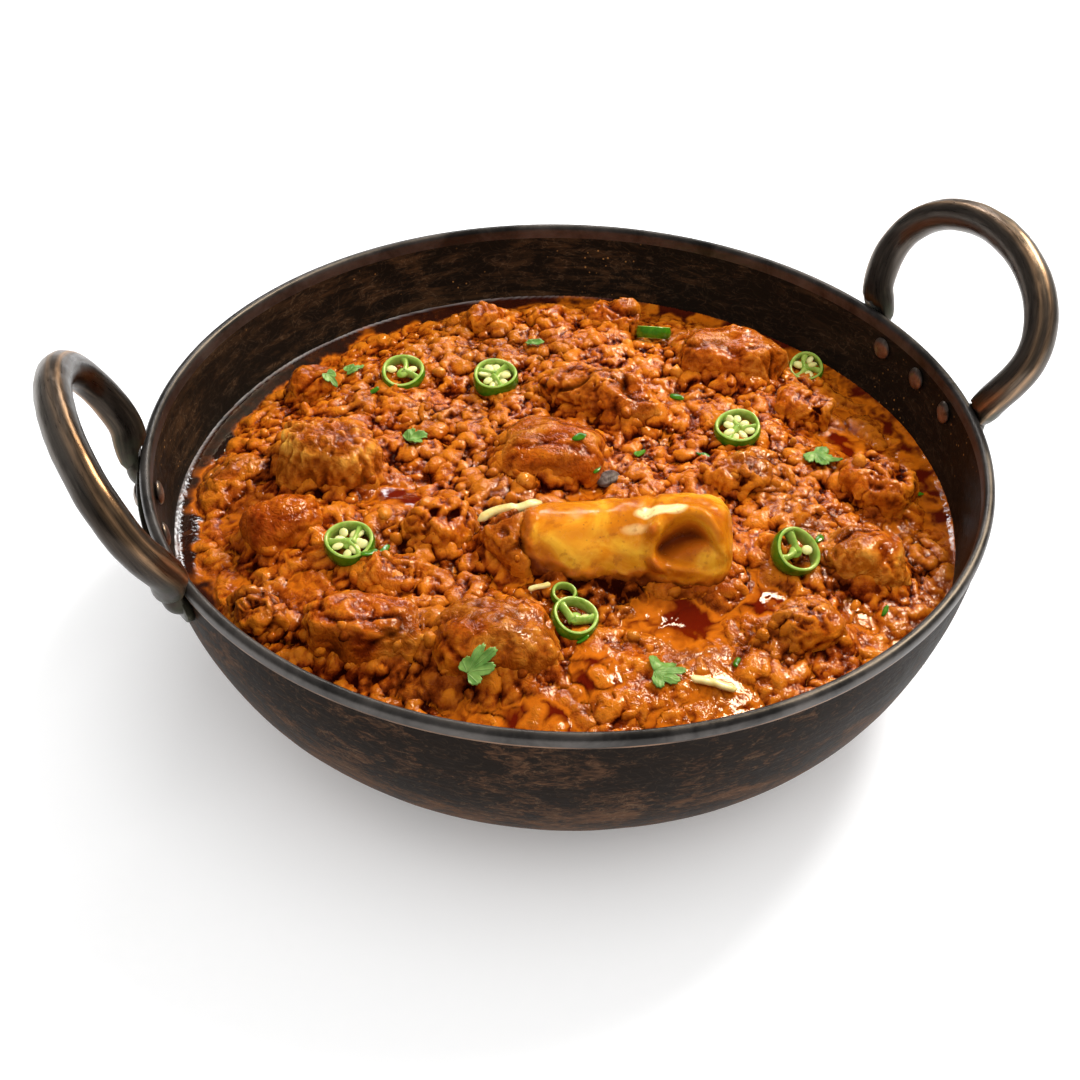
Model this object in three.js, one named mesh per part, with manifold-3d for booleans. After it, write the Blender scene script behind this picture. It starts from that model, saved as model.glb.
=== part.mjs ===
// Mutton karahi: a thick meat curry served in the round-bottomed iron pan that it was cooked in.
// The pan stands on its flat base. Its two loop handles are welded to straps, and each strap is
// held by three rivets through the wall. The curry fills the pan to about 30 mm below the rim:
// a gravy that heaps up towards the middle, pieces of mutton that stand out of it, one marrow bone
// with a hollow end, slices of green chilli, coriander leaves, ginger shreds and a cardamom husk.
//
// Millimetres, +Z up. The origin is the middle of the pan's base. The handles lie along X.

import * as THREE from "three";
import { mergeVertices } from "three/addons/utils/BufferGeometryUtils.js";
import Module from "manifold-3d";

const wasm = await Module();
wasm.setup();

// ---------- driving sizes ----------

const SEGMENTS = 40; // facets round the pan and round the gravy in it
const CLEARANCE = 0.3; // gap between pieces that touch

const RIM_RADIUS = 140.4; // outside of the rolled lip
const WALL_TOP_RADIUS = 139.4; // outside of the wall just under the lip
const BASE_RADIUS = 66; // flat base that the pan stands on
const PAN_HEIGHT = 82;
const WALL = 2.8; // sheet thickness
const WALL_FULLNESS = 0.7; // below 1 the wall bulges out quickly from the base
const LIP_DEPTH = 3.6;

const ROD_RADIUS = 5.7;
const LOOP_ROOT_RADIUS = 134.5; // where the loop's sloping plane passes the rim's height
const LOOP_TILT = THREE.MathUtils.degToRad(61); // the plane's slope above the horizontal
const LOOP_CENTRE = 22.5; // from the rim's height to the loop's middle, along the plane
const LOOP_REACH = 28.3; // half-axis of the loop, up the plane
const LOOP_HALF_WIDTH = 42.8; // half-axis of the loop, along the rim
const LOOP_ARC = THREE.MathUtils.degToRad(132); // each way from the loop's far point
const LOOP_LEG = 11; // how far the loop's ends are drawn down to their feet
const LOOP_BEND = 3; // how softly it turns from its slope to run down outside the rim
const LEG_CLEARANCE = 2.5; // from the rim to the middle of the rod, which is notched there

const STRAP_HEIGHT = 12;
const STRAP_TURN = 82.9; // where its middle line and the rivets are: the wall's turn, in degrees
const STRAP_THICKNESS = 2.2;
const STRAP_HALF_ANGLE = THREE.MathUtils.degToRad(16.8);

const RIVET_SPACING = THREE.MathUtils.degToRad(9.2);
const RIVET_HEAD_RADIUS = 4;
const RIVET_SHANK_RADIUS = 2.1;
const RIVET_HEAD_RISE = 1.5;

const GRAVY_LEVEL = 52; // at the wall
const HEAP_RISE = 7.5; // how much higher the middle stands
const HEAP_FOOT_RADIUS = 126;
const HEAP_TOP_RADIUS = 88;

// ---------- helpers ----------

// A repeatable number from 0 to 1 for a lattice point.
function hash(i, j, k, seed) {
  const s = Math.sin(i * 127.1 + j * 311.7 + k * 74.7 + seed * 53.3) * 43758.5453;
  return s - Math.floor(s);
}

// Smooth noise from -1 to 1, with lumps about one unit across.
function noise(x, y, z, seed) {
  const [i, j, k] = [Math.floor(x), Math.floor(y), Math.floor(z)];
  const ease = (t) => t * t * (3 - 2 * t);
  const [u, v, w] = [ease(x - i), ease(y - j), ease(z - k)];
  let sum = 0;
  for (const di of [0, 1])
    for (const dj of [0, 1])
      for (const dk of [0, 1]) {
        const weight = (di ? u : 1 - u) * (dj ? v : 1 - v) * (dk ? w : 1 - w);
        sum += weight * hash(i + di, j + dj, k + dk, seed);
      }
  return 2 * sum - 1;
}

// A closed geometry as a solid.
function solidOf(geometry) {
  const bare = geometry.clone();
  for (const name of Object.keys(bare.attributes)) {
    if (name !== "position") bare.deleteAttribute(name);
  }
  const merged = mergeVertices(bare, 1e-4);
  const make = (triVerts) =>
    new wasm.Manifold(
      new wasm.Mesh({ numProp: 3, vertProperties: merged.attributes.position.array, triVerts }),
    );
  const triangles = new Uint32Array(merged.index.array);
  const made = make(triangles);
  return made.volume() > 0 ? made : make(triangles.reverse());
}

// A solid's largest piece: a cut can leave loose scraps.
function largest(solid) {
  return solid.decompose().reduce((a, b) => (a.volume() > b.volume() ? a : b));
}

function geometryOf(solid) {
  const { numProp, vertProperties, triVerts } = solid.getMesh();
  const position = new Float32Array((vertProperties.length / numProp) * 3);
  for (let i = 0; i < position.length / 3; i++) {
    position.set(vertProperties.subarray(i * numProp, i * numProp + 3), i * 3);
  }
  return new THREE.BufferGeometry()
    .setAttribute("position", new THREE.BufferAttribute(position, 3))
    .setIndex(new THREE.BufferAttribute(new Uint32Array(triVerts), 1));
}

// A closed surface through rings of points, with a point at each end. Neighbouring rings may have
// different counts of points.
function skin(rings, first, last) {
  const index = [];
  const starts = rings.map((_, r) => 1 + rings.slice(0, r).flat().length);
  const end = 1 + rings.flat().length;
  const at = (ring, i) => starts[ring] + (i % rings[ring].length);
  const final = rings.length - 1;
  rings[0].forEach((_, i) => index.push(0, at(0, i + 1), at(0, i)));
  rings[final].forEach((_, i) => index.push(end, at(final, i), at(final, i + 1)));
  for (let r = 0; r < final; r++) {
    const [countA, countB] = [rings[r].length, rings[r + 1].length];
    let [a, b] = [0, 0];
    while (a < countA || b < countB) {
      if ((a + 1) / countA <= (b + 1) / countB) {
        index.push(at(r, a), at(r, a + 1), at(r + 1, b));
        a++;
      } else {
        index.push(at(r, a), at(r + 1, b + 1), at(r + 1, b));
        b++;
      }
    }
  }
  const position = [...first, ...rings.flat(2), ...last];
  return new THREE.BufferGeometry()
    .setAttribute("position", new THREE.Float32BufferAttribute(position, 3))
    .setIndex(index);
}

function turned(profile, segments) {
  const points = profile.map(([r, z]) => new THREE.Vector2(r, z));
  return new THREE.LatheGeometry(points, segments).rotateX(Math.PI / 2);
}

// ---------- materials ----------

const look = (color, roughness, metalness) =>
  new THREE.MeshStandardMaterial({ color, roughness, metalness });
const IRON = look(0x2b211b, 0.45, 0.8);
const HANDLE_IRON = look(0x3a302a, 0.38, 0.85);
const RIVET_IRON = look(0x6e5f55, 0.35, 0.9);
const GRAVY = look(0xb5521a, 0.25, 0);
const MEAT = look(0xa85420, 0.35, 0);
const BONE = look(0xd99a3a, 0.3, 0);
const CHILLI = look(0x4f8f1e, 0.3, 0);
const LEAF = look(0x5f9a3c, 0.5, 0);
const GINGER = look(0xe6cf73, 0.45, 0);
const HUSK = look(0x4d3b33, 0.5, 0);

const karahi = new THREE.Group();

function add(name, solid, material) {
  const mesh = new THREE.Mesh(geometryOf(solid), material);
  mesh.name = name;
  karahi.add(mesh);
  return mesh;
}

// ---------- the pan ----------

// A point of the wall's outside, and its outward normal. The turn is 0 at the base, 90 at the lip.
function wallPoint(turn) {
  const t = THREE.MathUtils.degToRad(turn);
  const span = WALL_TOP_RADIUS - BASE_RADIUS;
  const r = BASE_RADIUS + span * Math.sin(t) ** WALL_FULLNESS;
  const z = PAN_HEIGHT * (1 - Math.cos(t));
  const dr = span * WALL_FULLNESS * Math.sin(t) ** (WALL_FULLNESS - 1) * Math.cos(t);
  const dz = PAN_HEIGHT * Math.sin(t);
  const length = Math.hypot(dr, dz);
  return { r, z, nr: dz / length, nz: -dr / length };
}

// The wall's outside radius at a height.
function wallRadius(z) {
  const t = Math.acos(1 - z / PAN_HEIGHT);
  return BASE_RADIUS + (WALL_TOP_RADIUS - BASE_RADIUS) * Math.sin(t) ** WALL_FULLNESS;
}

const WALL_TURNS = [10, 21, 33, 46, 59, 71, STRAP_TURN];

function panProfile() {
  const outside = WALL_TURNS.map((turn) => wallPoint(turn)).map(({ r, z }) => [r, z]);
  const inside = WALL_TURNS.map((turn) => wallPoint(turn)).map(({ r, z, nr, nz }) => [
    r - WALL * nr,
    z - WALL * nz,
  ]);
  const top = PAN_HEIGHT;
  const lip = [
    [wallRadius(top - LIP_DEPTH - 0.6), top - LIP_DEPTH - 0.6],
    [RIM_RADIUS, top - LIP_DEPTH],
    [RIM_RADIUS, top - 1.3],
    [RIM_RADIUS - 1.2, top],
    [RIM_RADIUS - 2.6, top],
    [WALL_TOP_RADIUS - WALL, top - 1.2],
  ];
  return [[0, 0], [BASE_RADIUS, 0], ...outside, ...lip, ...inside.reverse(), [0, WALL]];
}

// The pan's space out to the middle of the strap's thickness: the rod is trimmed by it.
function panSpace() {
  const margin = CLEARANCE + STRAP_THICKNESS / 2;
  const rows = WALL_TURNS.map((turn) => wallPoint(turn)).map(({ r, z, nr, nz }) => [
    r + margin * nr,
    z + margin * nz,
  ]);
  const reach = RIM_RADIUS + 2 * CLEARANCE;
  const outline = [[0, -5], ...rows, [reach, PAN_HEIGHT - LIP_DEPTH - 1], [reach, 90], [0, 90]];
  return solidOf(turned(outline, SEGMENTS));
}

// Moves a solid that stands along its own Z to a rivet's place: Z then points out of the wall, at
// right angles to it, and starts on the wall's outside.
function atRivet(geometry, side, step) {
  const { r, z, nr, nz } = wallPoint(STRAP_TURN);
  return geometry
    .rotateY(Math.PI / 2 - Math.atan2(nz, nr))
    .translate(r, 0, z)
    .rotateZ(step * RIVET_SPACING + (side < 0 ? Math.PI : 0));
}

function rivetHole(side, step) {
  const radius = RIVET_SHANK_RADIUS + CLEARANCE;
  const hole = new THREE.CylinderGeometry(radius, radius, 20, 8).rotateX(Math.PI / 2);
  return solidOf(atRivet(hole, side, step));
}

function rivet(side, step) {
  const faceting = WALL_TOP_RADIUS * (1 - Math.cos(Math.PI / SEGMENTS));
  const inner = -WALL - faceting - CLEARANCE - 0.2;
  const outer = STRAP_THICKNESS + 2 * CLEARANCE + 0.1;
  const [head, shank, rise] = [RIVET_HEAD_RADIUS, RIVET_SHANK_RADIUS, RIVET_HEAD_RISE];
  return solidOf(
    atRivet(
      turned(
        [
          [0, inner - rise],
          [head * 0.72, inner - rise * 0.75],
          [head, inner],
          [shank, inner],
          [shank, outer],
          [head, outer],
          [head * 0.72, outer + rise * 0.75],
          [0, outer + rise],
        ],
        8,
      ),
      side,
      step,
    ),
  );
}

const RIVETS = [-1, 0, 1];
const SIDES = { left: -1, right: 1 };
const rivetHoles = Object.values(SIDES).flatMap((side) =>
  RIVETS.map((step) => rivetHole(side, step)),
);
const panWithHoles = rivetHoles.reduce(
  (pan, hole) => pan.subtract(hole),
  solidOf(turned(panProfile(), SEGMENTS)),
);
add("karahi_pan", panWithHoles, IRON);

// ---------- handles ----------

class HandleLoop extends THREE.Curve {
  getPoint(t) {
    const angle = (2 * t - 1) * LOOP_ARC;
    const leg = Math.max(0, (Math.abs(angle) - Math.PI / 2) / (LOOP_ARC - Math.PI / 2)) ** 2;
    const up = LOOP_CENTRE + LOOP_REACH * Math.cos(angle) - LOOP_LEG * leg;
    const y = LOOP_HALF_WIDTH * Math.sin(angle);
    const sloping = LOOP_ROOT_RADIUS + up * Math.cos(LOOP_TILT);
    const outside = Math.sqrt((RIM_RADIUS + LEG_CLEARANCE) ** 2 - y ** 2);
    const blended = (sloping + outside + Math.hypot(sloping - outside, LOOP_BEND)) / 2;
    return new THREE.Vector3(blended, y, PAN_HEIGHT + up * Math.sin(LOOP_TILT));
  }
}

function rod() {
  const section = new THREE.Shape().absarc(0, 0, ROD_RADIUS, 0, 2 * Math.PI);
  return new THREE.ExtrudeGeometry(section, {
    steps: 22,
    extrudePath: new HandleLoop(),
    curveSegments: 5,
  });
}

// The flattened foot where the rod spreads on to its strap.
function foot(way) {
  const [x, y] = [136.5, 32.5 * way];
  return new THREE.SphereGeometry(1, 8, 6).scale(5.4, 6, 6.5).translate(x, y, 75);
}

function strap() {
  const steps = 12;
  const middleHeight = wallPoint(STRAP_TURN).z;
  const rings = [];
  for (let i = 0; i <= steps; i++) {
    const share = (2 * i) / steps - 1;
    const angle = share * STRAP_HALF_ANGLE;
    const round = Math.sqrt(Math.max(1 - Math.abs(share) ** 8, 0.12));
    const half = (STRAP_HEIGHT / 2) * round;
    const ring = [];
    for (const [lift, way] of [[0, -1], [STRAP_THICKNESS, -1], [STRAP_THICKNESS, 1], [0, 1]]) {
      const z = middleHeight + way * half;
      const r = wallRadius(z) + CLEARANCE + lift;
      ring.push([r * Math.cos(angle), r * Math.sin(angle), z]);
    }
    rings.push(ring);
  }
  const middle = (ring) => ring.reduce((sum, p) => sum.map((v, i) => v + p[i] / 4), [0, 0, 0]);
  return skin(rings, middle(rings[0]), middle(rings[steps]));
}

function handle(side) {
  const [bar, back, front, base] = [rod(), foot(-1), foot(1), strap()].map((geometry) =>
    solidOf(side < 0 ? geometry.rotateZ(Math.PI) : geometry),
  );
  const whole = bar.add(back).add(front).subtract(panSpace()).add(base);
  return largest(rivetHoles.reduce((part, hole) => part.subtract(hole), whole));
}

for (const [name, side] of Object.entries(SIDES)) {
  add(`handle_${name}`, handle(side), HANDLE_IRON);
  for (const step of RIVETS) {
    add(`rivet_${name}_${step + 2}`, rivet(side, step), RIVET_IRON);
  }
}

// ---------- gravy ----------

// Shallow pools of oil and the smooth sauce round them: place, radius and depth.
const POOLS = [
  [6, -80, 20, 3.2],
  [-106, 22, 13, 1.5],
  [-92, -18, 16, 1.8],
  [104, 0, 20, 1.5],
  [8, -6, 8, 2.5],
  [-60, -104, 22, 1.2],
];

function gravyTop(x, y) {
  const r = Math.hypot(x, y);
  const heap = 1 - THREE.MathUtils.smoothstep(r, HEAP_TOP_RADIUS, HEAP_FOOT_RADIUS);
  const lumps = 2.4 * noise(x / 21, y / 21, 0.5, 3) + 1.5 * noise(x / 11, y / 11, 0.5, 7);
  let z = GRAVY_LEVEL + HEAP_RISE * heap + lumps * (0.25 + 0.75 * heap);
  for (const [px, py, radius, depth] of POOLS) {
    z -= depth * Math.exp(-((x - px) ** 2 + (y - py) ** 2) / radius ** 2);
  }
  const shore = THREE.MathUtils.smoothstep(r, HEAP_FOOT_RADIUS - 4, HEAP_FOOT_RADIUS + 5);
  return THREE.MathUtils.lerp(z, GRAVY_LEVEL, shore);
}

// A ring of points round the pan's axis, fewer near the middle.
function round(radius, height) {
  const share = radius < 25 ? 4 : radius < 70 ? 2 : 1;
  return Array.from({ length: SEGMENTS / share }, (_, i) => {
    const angle = (2 * Math.PI * i * share) / SEGMENTS;
    const [x, y] = [radius * Math.cos(angle), radius * Math.sin(angle)];
    return [x, y, typeof height === "function" ? height(x, y) : height];
  });
}

const TOP_RINGS = [12, 25, 38, 52, 66, 79, 92, 104, 116, 127];

function gravy() {
  const inside = WALL_TURNS.map((turn) => wallPoint(turn))
    .map(({ r, z, nr, nz }) => [r - (WALL + CLEARANCE) * nr, z - (WALL + CLEARANCE) * nz])
    .filter(([, z]) => z < GRAVY_LEVEL - 4);
  const shore = wallRadius(GRAVY_LEVEL) - WALL - CLEARANCE - 0.3;
  const rings = [
    ...inside.map(([r, z]) => round(r, z)),
    round(shore, GRAVY_LEVEL),
    ...TOP_RINGS.reverse().map((r) => round(r, gravyTop)),
  ];
  return solidOf(skin(rings, [0, 0, inside[0][1]], [0, 0, gravyTop(0, 0)]));
}

// The space that the gravy takes from what stands in it: its own top, raised by the clearance.
function gravySpace() {
  const raised = (x, y) => gravyTop(x, y) + CLEARANCE;
  const rings = [
    round(150, 10),
    round(150, GRAVY_LEVEL + CLEARANCE),
    ...TOP_RINGS.map((r) => round(r, raised)),
  ];
  return solidOf(skin(rings, [0, 0, 10], [0, 0, raised(0, 0)]));
}

add("gravy", gravy(), GRAVY);
const taken = [gravySpace()]; // what later pieces are trimmed by

// ---------- pieces of mutton and the bone ----------

// Each piece: middle, half-sizes along its own length, breadth and height, the way that it lies in
// degrees, how square its corners are, how lumpy it is, and how finely it is faceted.
const MEAT_PIECES = {
  mutton_large_left: { at: [-75, 33, 58], half: [18, 14, 17], yaw: -28, square: 3.4, lumpy: 0.1, fine: 3 },
  mutton_round_left: { at: [-96, 7, 56], half: [14, 12, 13], yaw: 10, square: 2.6, lumpy: 0.12, fine: 2 },
  mutton_edge_left: { at: [-113, -28, 54], half: [11, 8, 8], yaw: -50, square: 2.4, lumpy: 0.2, fine: 2 },
  mutton_front_left: { at: [-85, -50, 56], half: [18, 13, 13], yaw: -35, square: 3, lumpy: 0.15, fine: 3 },
  mutton_front: { at: [-49, -67, 56], half: [20, 15, 15], yaw: -18, square: 3, lumpy: 0.15, fine: 3 },
  mutton_ridge_left: { at: [-49, -12, 57], half: [13, 11, 12], yaw: 20, square: 2.6, lumpy: 0.2, fine: 2 },
  mutton_crumb_left: { at: [-70.5, -29, 57], half: [12, 9, 9], yaw: -30, square: 2.4, lumpy: 0.24, fine: 2 },
  mutton_middle: { at: [-1, 13, 60], half: [19, 15, 12], yaw: -30, square: 3, lumpy: 0.12, fine: 3 },
  mutton_ridge_back: { at: [28, 37, 60], half: [24, 12, 12], yaw: -48, square: 2.6, lumpy: 0.2, fine: 2 },
  mutton_large_back: { at: [84, 48, 59], half: [22, 14, 13], yaw: -30, square: 2.8, lumpy: 0.2, fine: 3 },
  mutton_small_right: { at: [98, 13, 56], half: [11, 9, 9], yaw: -40, square: 2.6, lumpy: 0.18, fine: 2 },
  mutton_right: { at: [100, -36, 56], half: [14, 13, 12], yaw: -60, square: 2.6, lumpy: 0.22, fine: 2 },
  mutton_fat_right: { at: [78, -69, 55], half: [15, 12, 12], yaw: -30, square: 2.8, lumpy: 0.16, fine: 2 },
  mutton_front_right: { at: [45, -90, 55], half: [13, 9, 8], yaw: -5, square: 2.4, lumpy: 0.22, fine: 2 },
  mutton_crumb_bone: { at: [50, -60, 57], half: [7, 8, 9], yaw: 0, square: 2.4, lumpy: 0.22, fine: 2 },
  mutton_crumb_right: { at: [57, -20, 59], half: [12, 10, 9], yaw: -20, square: 2.4, lumpy: 0.24, fine: 2 },
  mutton_back_left: { at: [-67, 84, 56], half: [9, 9, 10], yaw: 30, square: 2.8, lumpy: 0.16, fine: 2 },
  mutton_back_1: { at: [6, 104, 57], half: [9, 8, 9], yaw: 0, square: 2.8, lumpy: 0.18, fine: 2 },
  mutton_back_2: { at: [31, 98, 57], half: [9, 7, 8], yaw: -20, square: 2.6, lumpy: 0.18, fine: 2 },
  mutton_back_3: { at: [54, 90, 57], half: [11, 9, 10], yaw: -30, square: 2.8, lumpy: 0.18, fine: 2 },
  mutton_shore_left: { at: [-104, 46, 53], half: [11, 7, 6], yaw: 25, square: 2.4, lumpy: 0.2, fine: 2 },
};

// A rounded block with lumps, grown by a margin.
function lump({ at, half, yaw, square, lumpy, fine }, seed, margin = 0) {
  const geometry = mergeVertices(
    new THREE.IcosahedronGeometry(1, fine).deleteAttribute("uv").deleteAttribute("normal"),
  );
  const position = geometry.attributes.position;
  const v = new THREE.Vector3();
  for (let i = 0; i < position.count; i++) {
    v.fromBufferAttribute(position, i).normalize();
    const block = (Math.abs(v.x) ** square + Math.abs(v.y) ** square + Math.abs(v.z) ** square) **
      (-1 / square);
    const rough = 1 + lumpy * noise(v.x * 2.2 + 9, v.y * 2.2 + 9, v.z * 2.2 + 9, seed);
    v.set(v.x * half[0], v.y * half[1], v.z * half[2]).multiplyScalar(block * rough);
    v.addScaledVector(v.clone().normalize(), margin);
    position.setXYZ(i, v.x, v.y, v.z);
  }
  return geometry.rotateZ(THREE.MathUtils.degToRad(yaw)).translate(...at);
}

// Trims a solid by everything that is already in place, and keeps what is left in one piece.
function settle(geometry) {
  return largest(taken.reduce((solid, other) => solid.subtract(other), solidOf(geometry)));
}

// The marrow bone lies across the front of the heap. Its shaft is round in section, it narrows into
// the meat at its left end, and it widens at its right end round a hollow.
const BONE_SHAFT = {
  at: [4, -41.5, 63.5],
  yaw: THREE.MathUtils.degToRad(-22),
  halfLength: 34.5,
  sections: [0.6, 0.86, 0.94, 0.97, 0.98, 0.98, 1, 1.03, 1.08, 1.13, 1.1, 0.85],
  halfDepth: 16,
  halfHeight: 14,
};

function boneShaft(margin = 0) {
  const { at, yaw, halfLength, sections, halfDepth, halfHeight } = BONE_SHAFT;
  const around = 12;
  const rings = sections.map((share, i) => {
    const x = halfLength * ((2 * i) / (sections.length - 1) - 1) * (1 + margin / halfLength);
    return Array.from({ length: around }, (_, k) => {
      const angle = (2 * Math.PI * k) / around;
      const y = (halfDepth * share + margin) * Math.cos(angle);
      const z = (halfHeight * share + margin) * Math.sin(angle) + 1.2 * Math.sin(x / 14);
      return [x, y, z];
    });
  });
  const tip = halfLength + 1.5 + margin;
  return skin(rings, [-tip, 0, 0], [tip, 0, 0]).rotateZ(yaw).translate(...at);
}

// The hollow in the bone's right end opens up and towards the front.
function boneHollow() {
  const { at, yaw } = BONE_SHAFT;
  return solidOf(
    new THREE.IcosahedronGeometry(1, 2)
      .scale(9, 9.5, 8)
      .translate(16.5, -11, 7.5)
      .rotateZ(yaw)
      .translate(...at),
  );
}

add("marrow_bone", largest(settle(boneShaft()).subtract(boneHollow())), BONE);
taken.push(solidOf(boneShaft(CLEARANCE)));

const BONE_MEAT = {
  bone_meat_left: { at: [-28, -30, 61], half: [13, 10, 11], yaw: -60, square: 2.4, lumpy: 0.2, fine: 2 },
  bone_meat_front: { at: [19, -62, 56], half: [19, 8, 8], yaw: -24, square: 2.8, lumpy: 0.16, fine: 2 },
};

Object.entries({ ...BONE_MEAT, ...MEAT_PIECES }).forEach(([name, piece], seed) => {
  add(name, settle(lump(piece, seed)), MEAT);
  taken.push(solidOf(lump(piece, seed, CLEARANCE)));
});

// ---------- toppings ----------

const foodMeshes = karahi.children.filter(({ material }) => [GRAVY, MEAT, BONE].includes(material));
for (const mesh of foodMeshes) mesh.geometry.computeBoundingSphere();
const plumbLine = new THREE.Raycaster();

// The height of the food at a place.
function surface(x, y) {
  plumbLine.set(new THREE.Vector3(x, y, 200), new THREE.Vector3(0, 0, -1));
  return plumbLine.intersectObjects(foodMeshes)[0].point.z;
}

// How something flat and round lies on the food: its height there, and the way that it faces.
function rest(x, y, radius) {
  const heights = [0, 1, 2, 3].map((quarter) => {
    const angle = (quarter * Math.PI) / 2;
    return surface(x + radius * Math.cos(angle), y + radius * Math.sin(angle));
  });
  const slopeX = (heights[0] - heights[2]) / (2 * radius);
  const slopeY = (heights[1] - heights[3]) / (2 * radius);
  return {
    height: heights.reduce((sum, h) => sum + h / 4, 0),
    normal: new THREE.Vector3(-slopeX, -slopeY, 1).normalize(),
  };
}

// Chilli slices: place, outer radius, thickness, how far they are turned from the food's own slope
// towards a compass direction, and whether the seed core still fills them.
const CHILLI_SLICES = {
  chilli_1: { at: [-36, 75.5], radius: 7.9, thick: 4, lean: 12, towards: -110, core: true },
  chilli_2: { at: [-4.5, 62], radius: 7.9, thick: 6, lean: 8, towards: -100, core: true },
  chilli_3: { at: [66, 77.5], radius: 6.6, thick: 4, lean: -20, towards: -110, core: false },
  chilli_4: { at: [114.5, 41], radius: 6.6, thick: 3.4, lean: 25, towards: -130, core: true },
  chilli_5: { at: [66, 2.5], radius: 7.9, thick: 4.4, lean: 14, towards: -110, core: true },
  chilli_6: { at: [-79.5, -13], radius: 8, thick: 5.4, lean: 6, towards: -110, core: true },
  chilli_7: { at: [-23, -68], radius: 7.3, thick: 4, lean: 18, towards: -90, core: true },
  chilli_8: { at: [-22, -56], radius: 3.9, thick: 3, lean: 10, towards: -90, core: false },
  chilli_9: { at: [53.5, -65.5], radius: 7.8, thick: 5, lean: 12, towards: -100, core: true },
};

// The pale core inside a slice: a star with three arms that reach the skin.
function chilliCore(radius, thick) {
  const points = 9;
  const outline = Array.from({ length: points }, (_, i) => {
    const angle = (2 * Math.PI * i) / points;
    const r = radius * (i % 3 === 0 ? 0.9 : 0.36);
    return new THREE.Vector2(r * Math.cos(angle), r * Math.sin(angle));
  });
  return new THREE.ExtrudeGeometry(new THREE.Shape(outline), {
    depth: thick * 0.7,
    bevelEnabled: false,
  }).translate(0, 0, -thick * 0.4);
}

function chilliSlice({ at: [x, y], radius, thick, lean, towards, core }) {
  const skinWall = Math.max(1.1, radius * 0.17);
  const half = thick / 2;
  const ring = solidOf(
    turned(
      [
        [radius - skinWall, -half],
        [radius, -half],
        [radius, half],
        [radius - skinWall, half],
        [radius - skinWall, -half],
      ],
      10,
    ),
  );
  const whole = core ? ring.add(solidOf(chilliCore(radius, thick))) : ring;
  const { height, normal } = rest(x, y, radius * 0.8);
  const compass = THREE.MathUtils.degToRad(towards);
  const leaning = new THREE.Vector3(Math.cos(compass), Math.sin(compass), 0);
  normal.addScaledVector(leaning, Math.tan(THREE.MathUtils.degToRad(lean))).normalize();
  const geometry = geometryOf(whole)
    .applyQuaternion(
      new THREE.Quaternion().setFromUnitVectors(new THREE.Vector3(0, 0, 1), normal),
    )
    .translate(x, y, height + half * 0.8);
  return settle(geometry);
}

for (const [name, slice] of Object.entries(CHILLI_SLICES)) {
  add(name, chilliSlice(slice), CHILLI);
}

const STEEPEST = 0.8; // slope of a sheet where it bridges down from a high spot

// A thin sheet or strip that lies on the food. Its outline is given as stations along its length,
// each with the places of its two edges, and it is laid with its length along the yaw.
function draped(at, yaw, stations, thickness, wave) {
  const angle = THREE.MathUtils.degToRad(yaw);
  const points = stations.flatMap(([along, left, right]) =>
    [left, (left + right) / 2, right].map((across) => {
      const x = at[0] + along * Math.cos(angle) - across * Math.sin(angle);
      const y = at[1] + along * Math.sin(angle) + across * Math.cos(angle);
      const ripple = wave * (1 + Math.sin(along * 0.9 + across * 0.7));
      return [x, y, surface(x, y) + 2 * CLEARANCE + ripple];
    }),
  );
  const lain = points.map(([x, y]) => {
    const held = points.map(([u, v, w]) => w - STEEPEST * Math.hypot(x - u, y - v));
    return [x, y, Math.max(...held)];
  });
  const raised = ([x, y, z]) => [x, y, z + thickness];
  const rings = stations.map((_, i) => {
    const [left, middle, right] = lain.slice(3 * i, 3 * i + 3);
    return [left, middle, right, raised(right), raised(middle), raised(left)];
  });
  const middleOf = (ring) => [0, 1, 2].map((axis) => (ring[1][axis] + ring[4][axis]) / 2);
  return settle(skin(rings, middleOf(rings[0]), middleOf(rings[rings.length - 1])));
}

// A coriander leaf: lobes along its length, with notches between them.
function leafOutline(length, halfWidth, lobes) {
  const steps = lobes * 2;
  return Array.from({ length: steps + 1 }, (_, i) => {
    const t = i / steps;
    const body = Math.sin(Math.PI * (0.08 + 0.84 * t)) ** 0.6;
    const width = halfWidth * body * (i % 2 ? 1 : 0.55);
    return [(t - 0.5) * length, -width, width];
  });
}

const LEAVES = {
  coriander_1: { at: [-43, 37.5], yaw: 10, length: 10, halfWidth: 4.6, lobes: 2 },
  coriander_2: { at: [-59, -81.5], yaw: 15, length: 14, halfWidth: 4.6, lobes: 4 },
  coriander_3: { at: [-5, -96], yaw: -15, length: 12, halfWidth: 6, lobes: 3 },
  coriander_4: { at: [89, -18.5], yaw: -65, length: 16, halfWidth: 6, lobes: 3 },
  coriander_5: { at: [-52.5, 86.5], yaw: 5, length: 9, halfWidth: 3.4, lobes: 2 },
  coriander_6: { at: [-63, 77.5], yaw: -60, length: 7, halfWidth: 2.6, lobes: 2 },
  coriander_7: { at: [17.5, 81], yaw: -10, length: 8, halfWidth: 2.4, lobes: 2 },
};

for (const [name, { at, yaw, length, halfWidth, lobes }] of Object.entries(LEAVES)) {
  add(name, draped(at, yaw, leafOutline(length, halfWidth, lobes), 0.7, 0.5), LEAF);
}

// Ginger shreds: long thin strips that bend a little sideways.
const GINGER_SHREDS = {
  ginger_1: { at: [-27, -20], yaw: 5, length: 22, half: 1.5, bend: 1.6 },
  ginger_2: { at: [8, -103.6], yaw: -28, length: 14, half: 1.4, bend: 0.3 },
  ginger_3: { at: [-28.5, -51.5], yaw: -10, length: 7, half: 1, bend: 0.3 },
};

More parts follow.
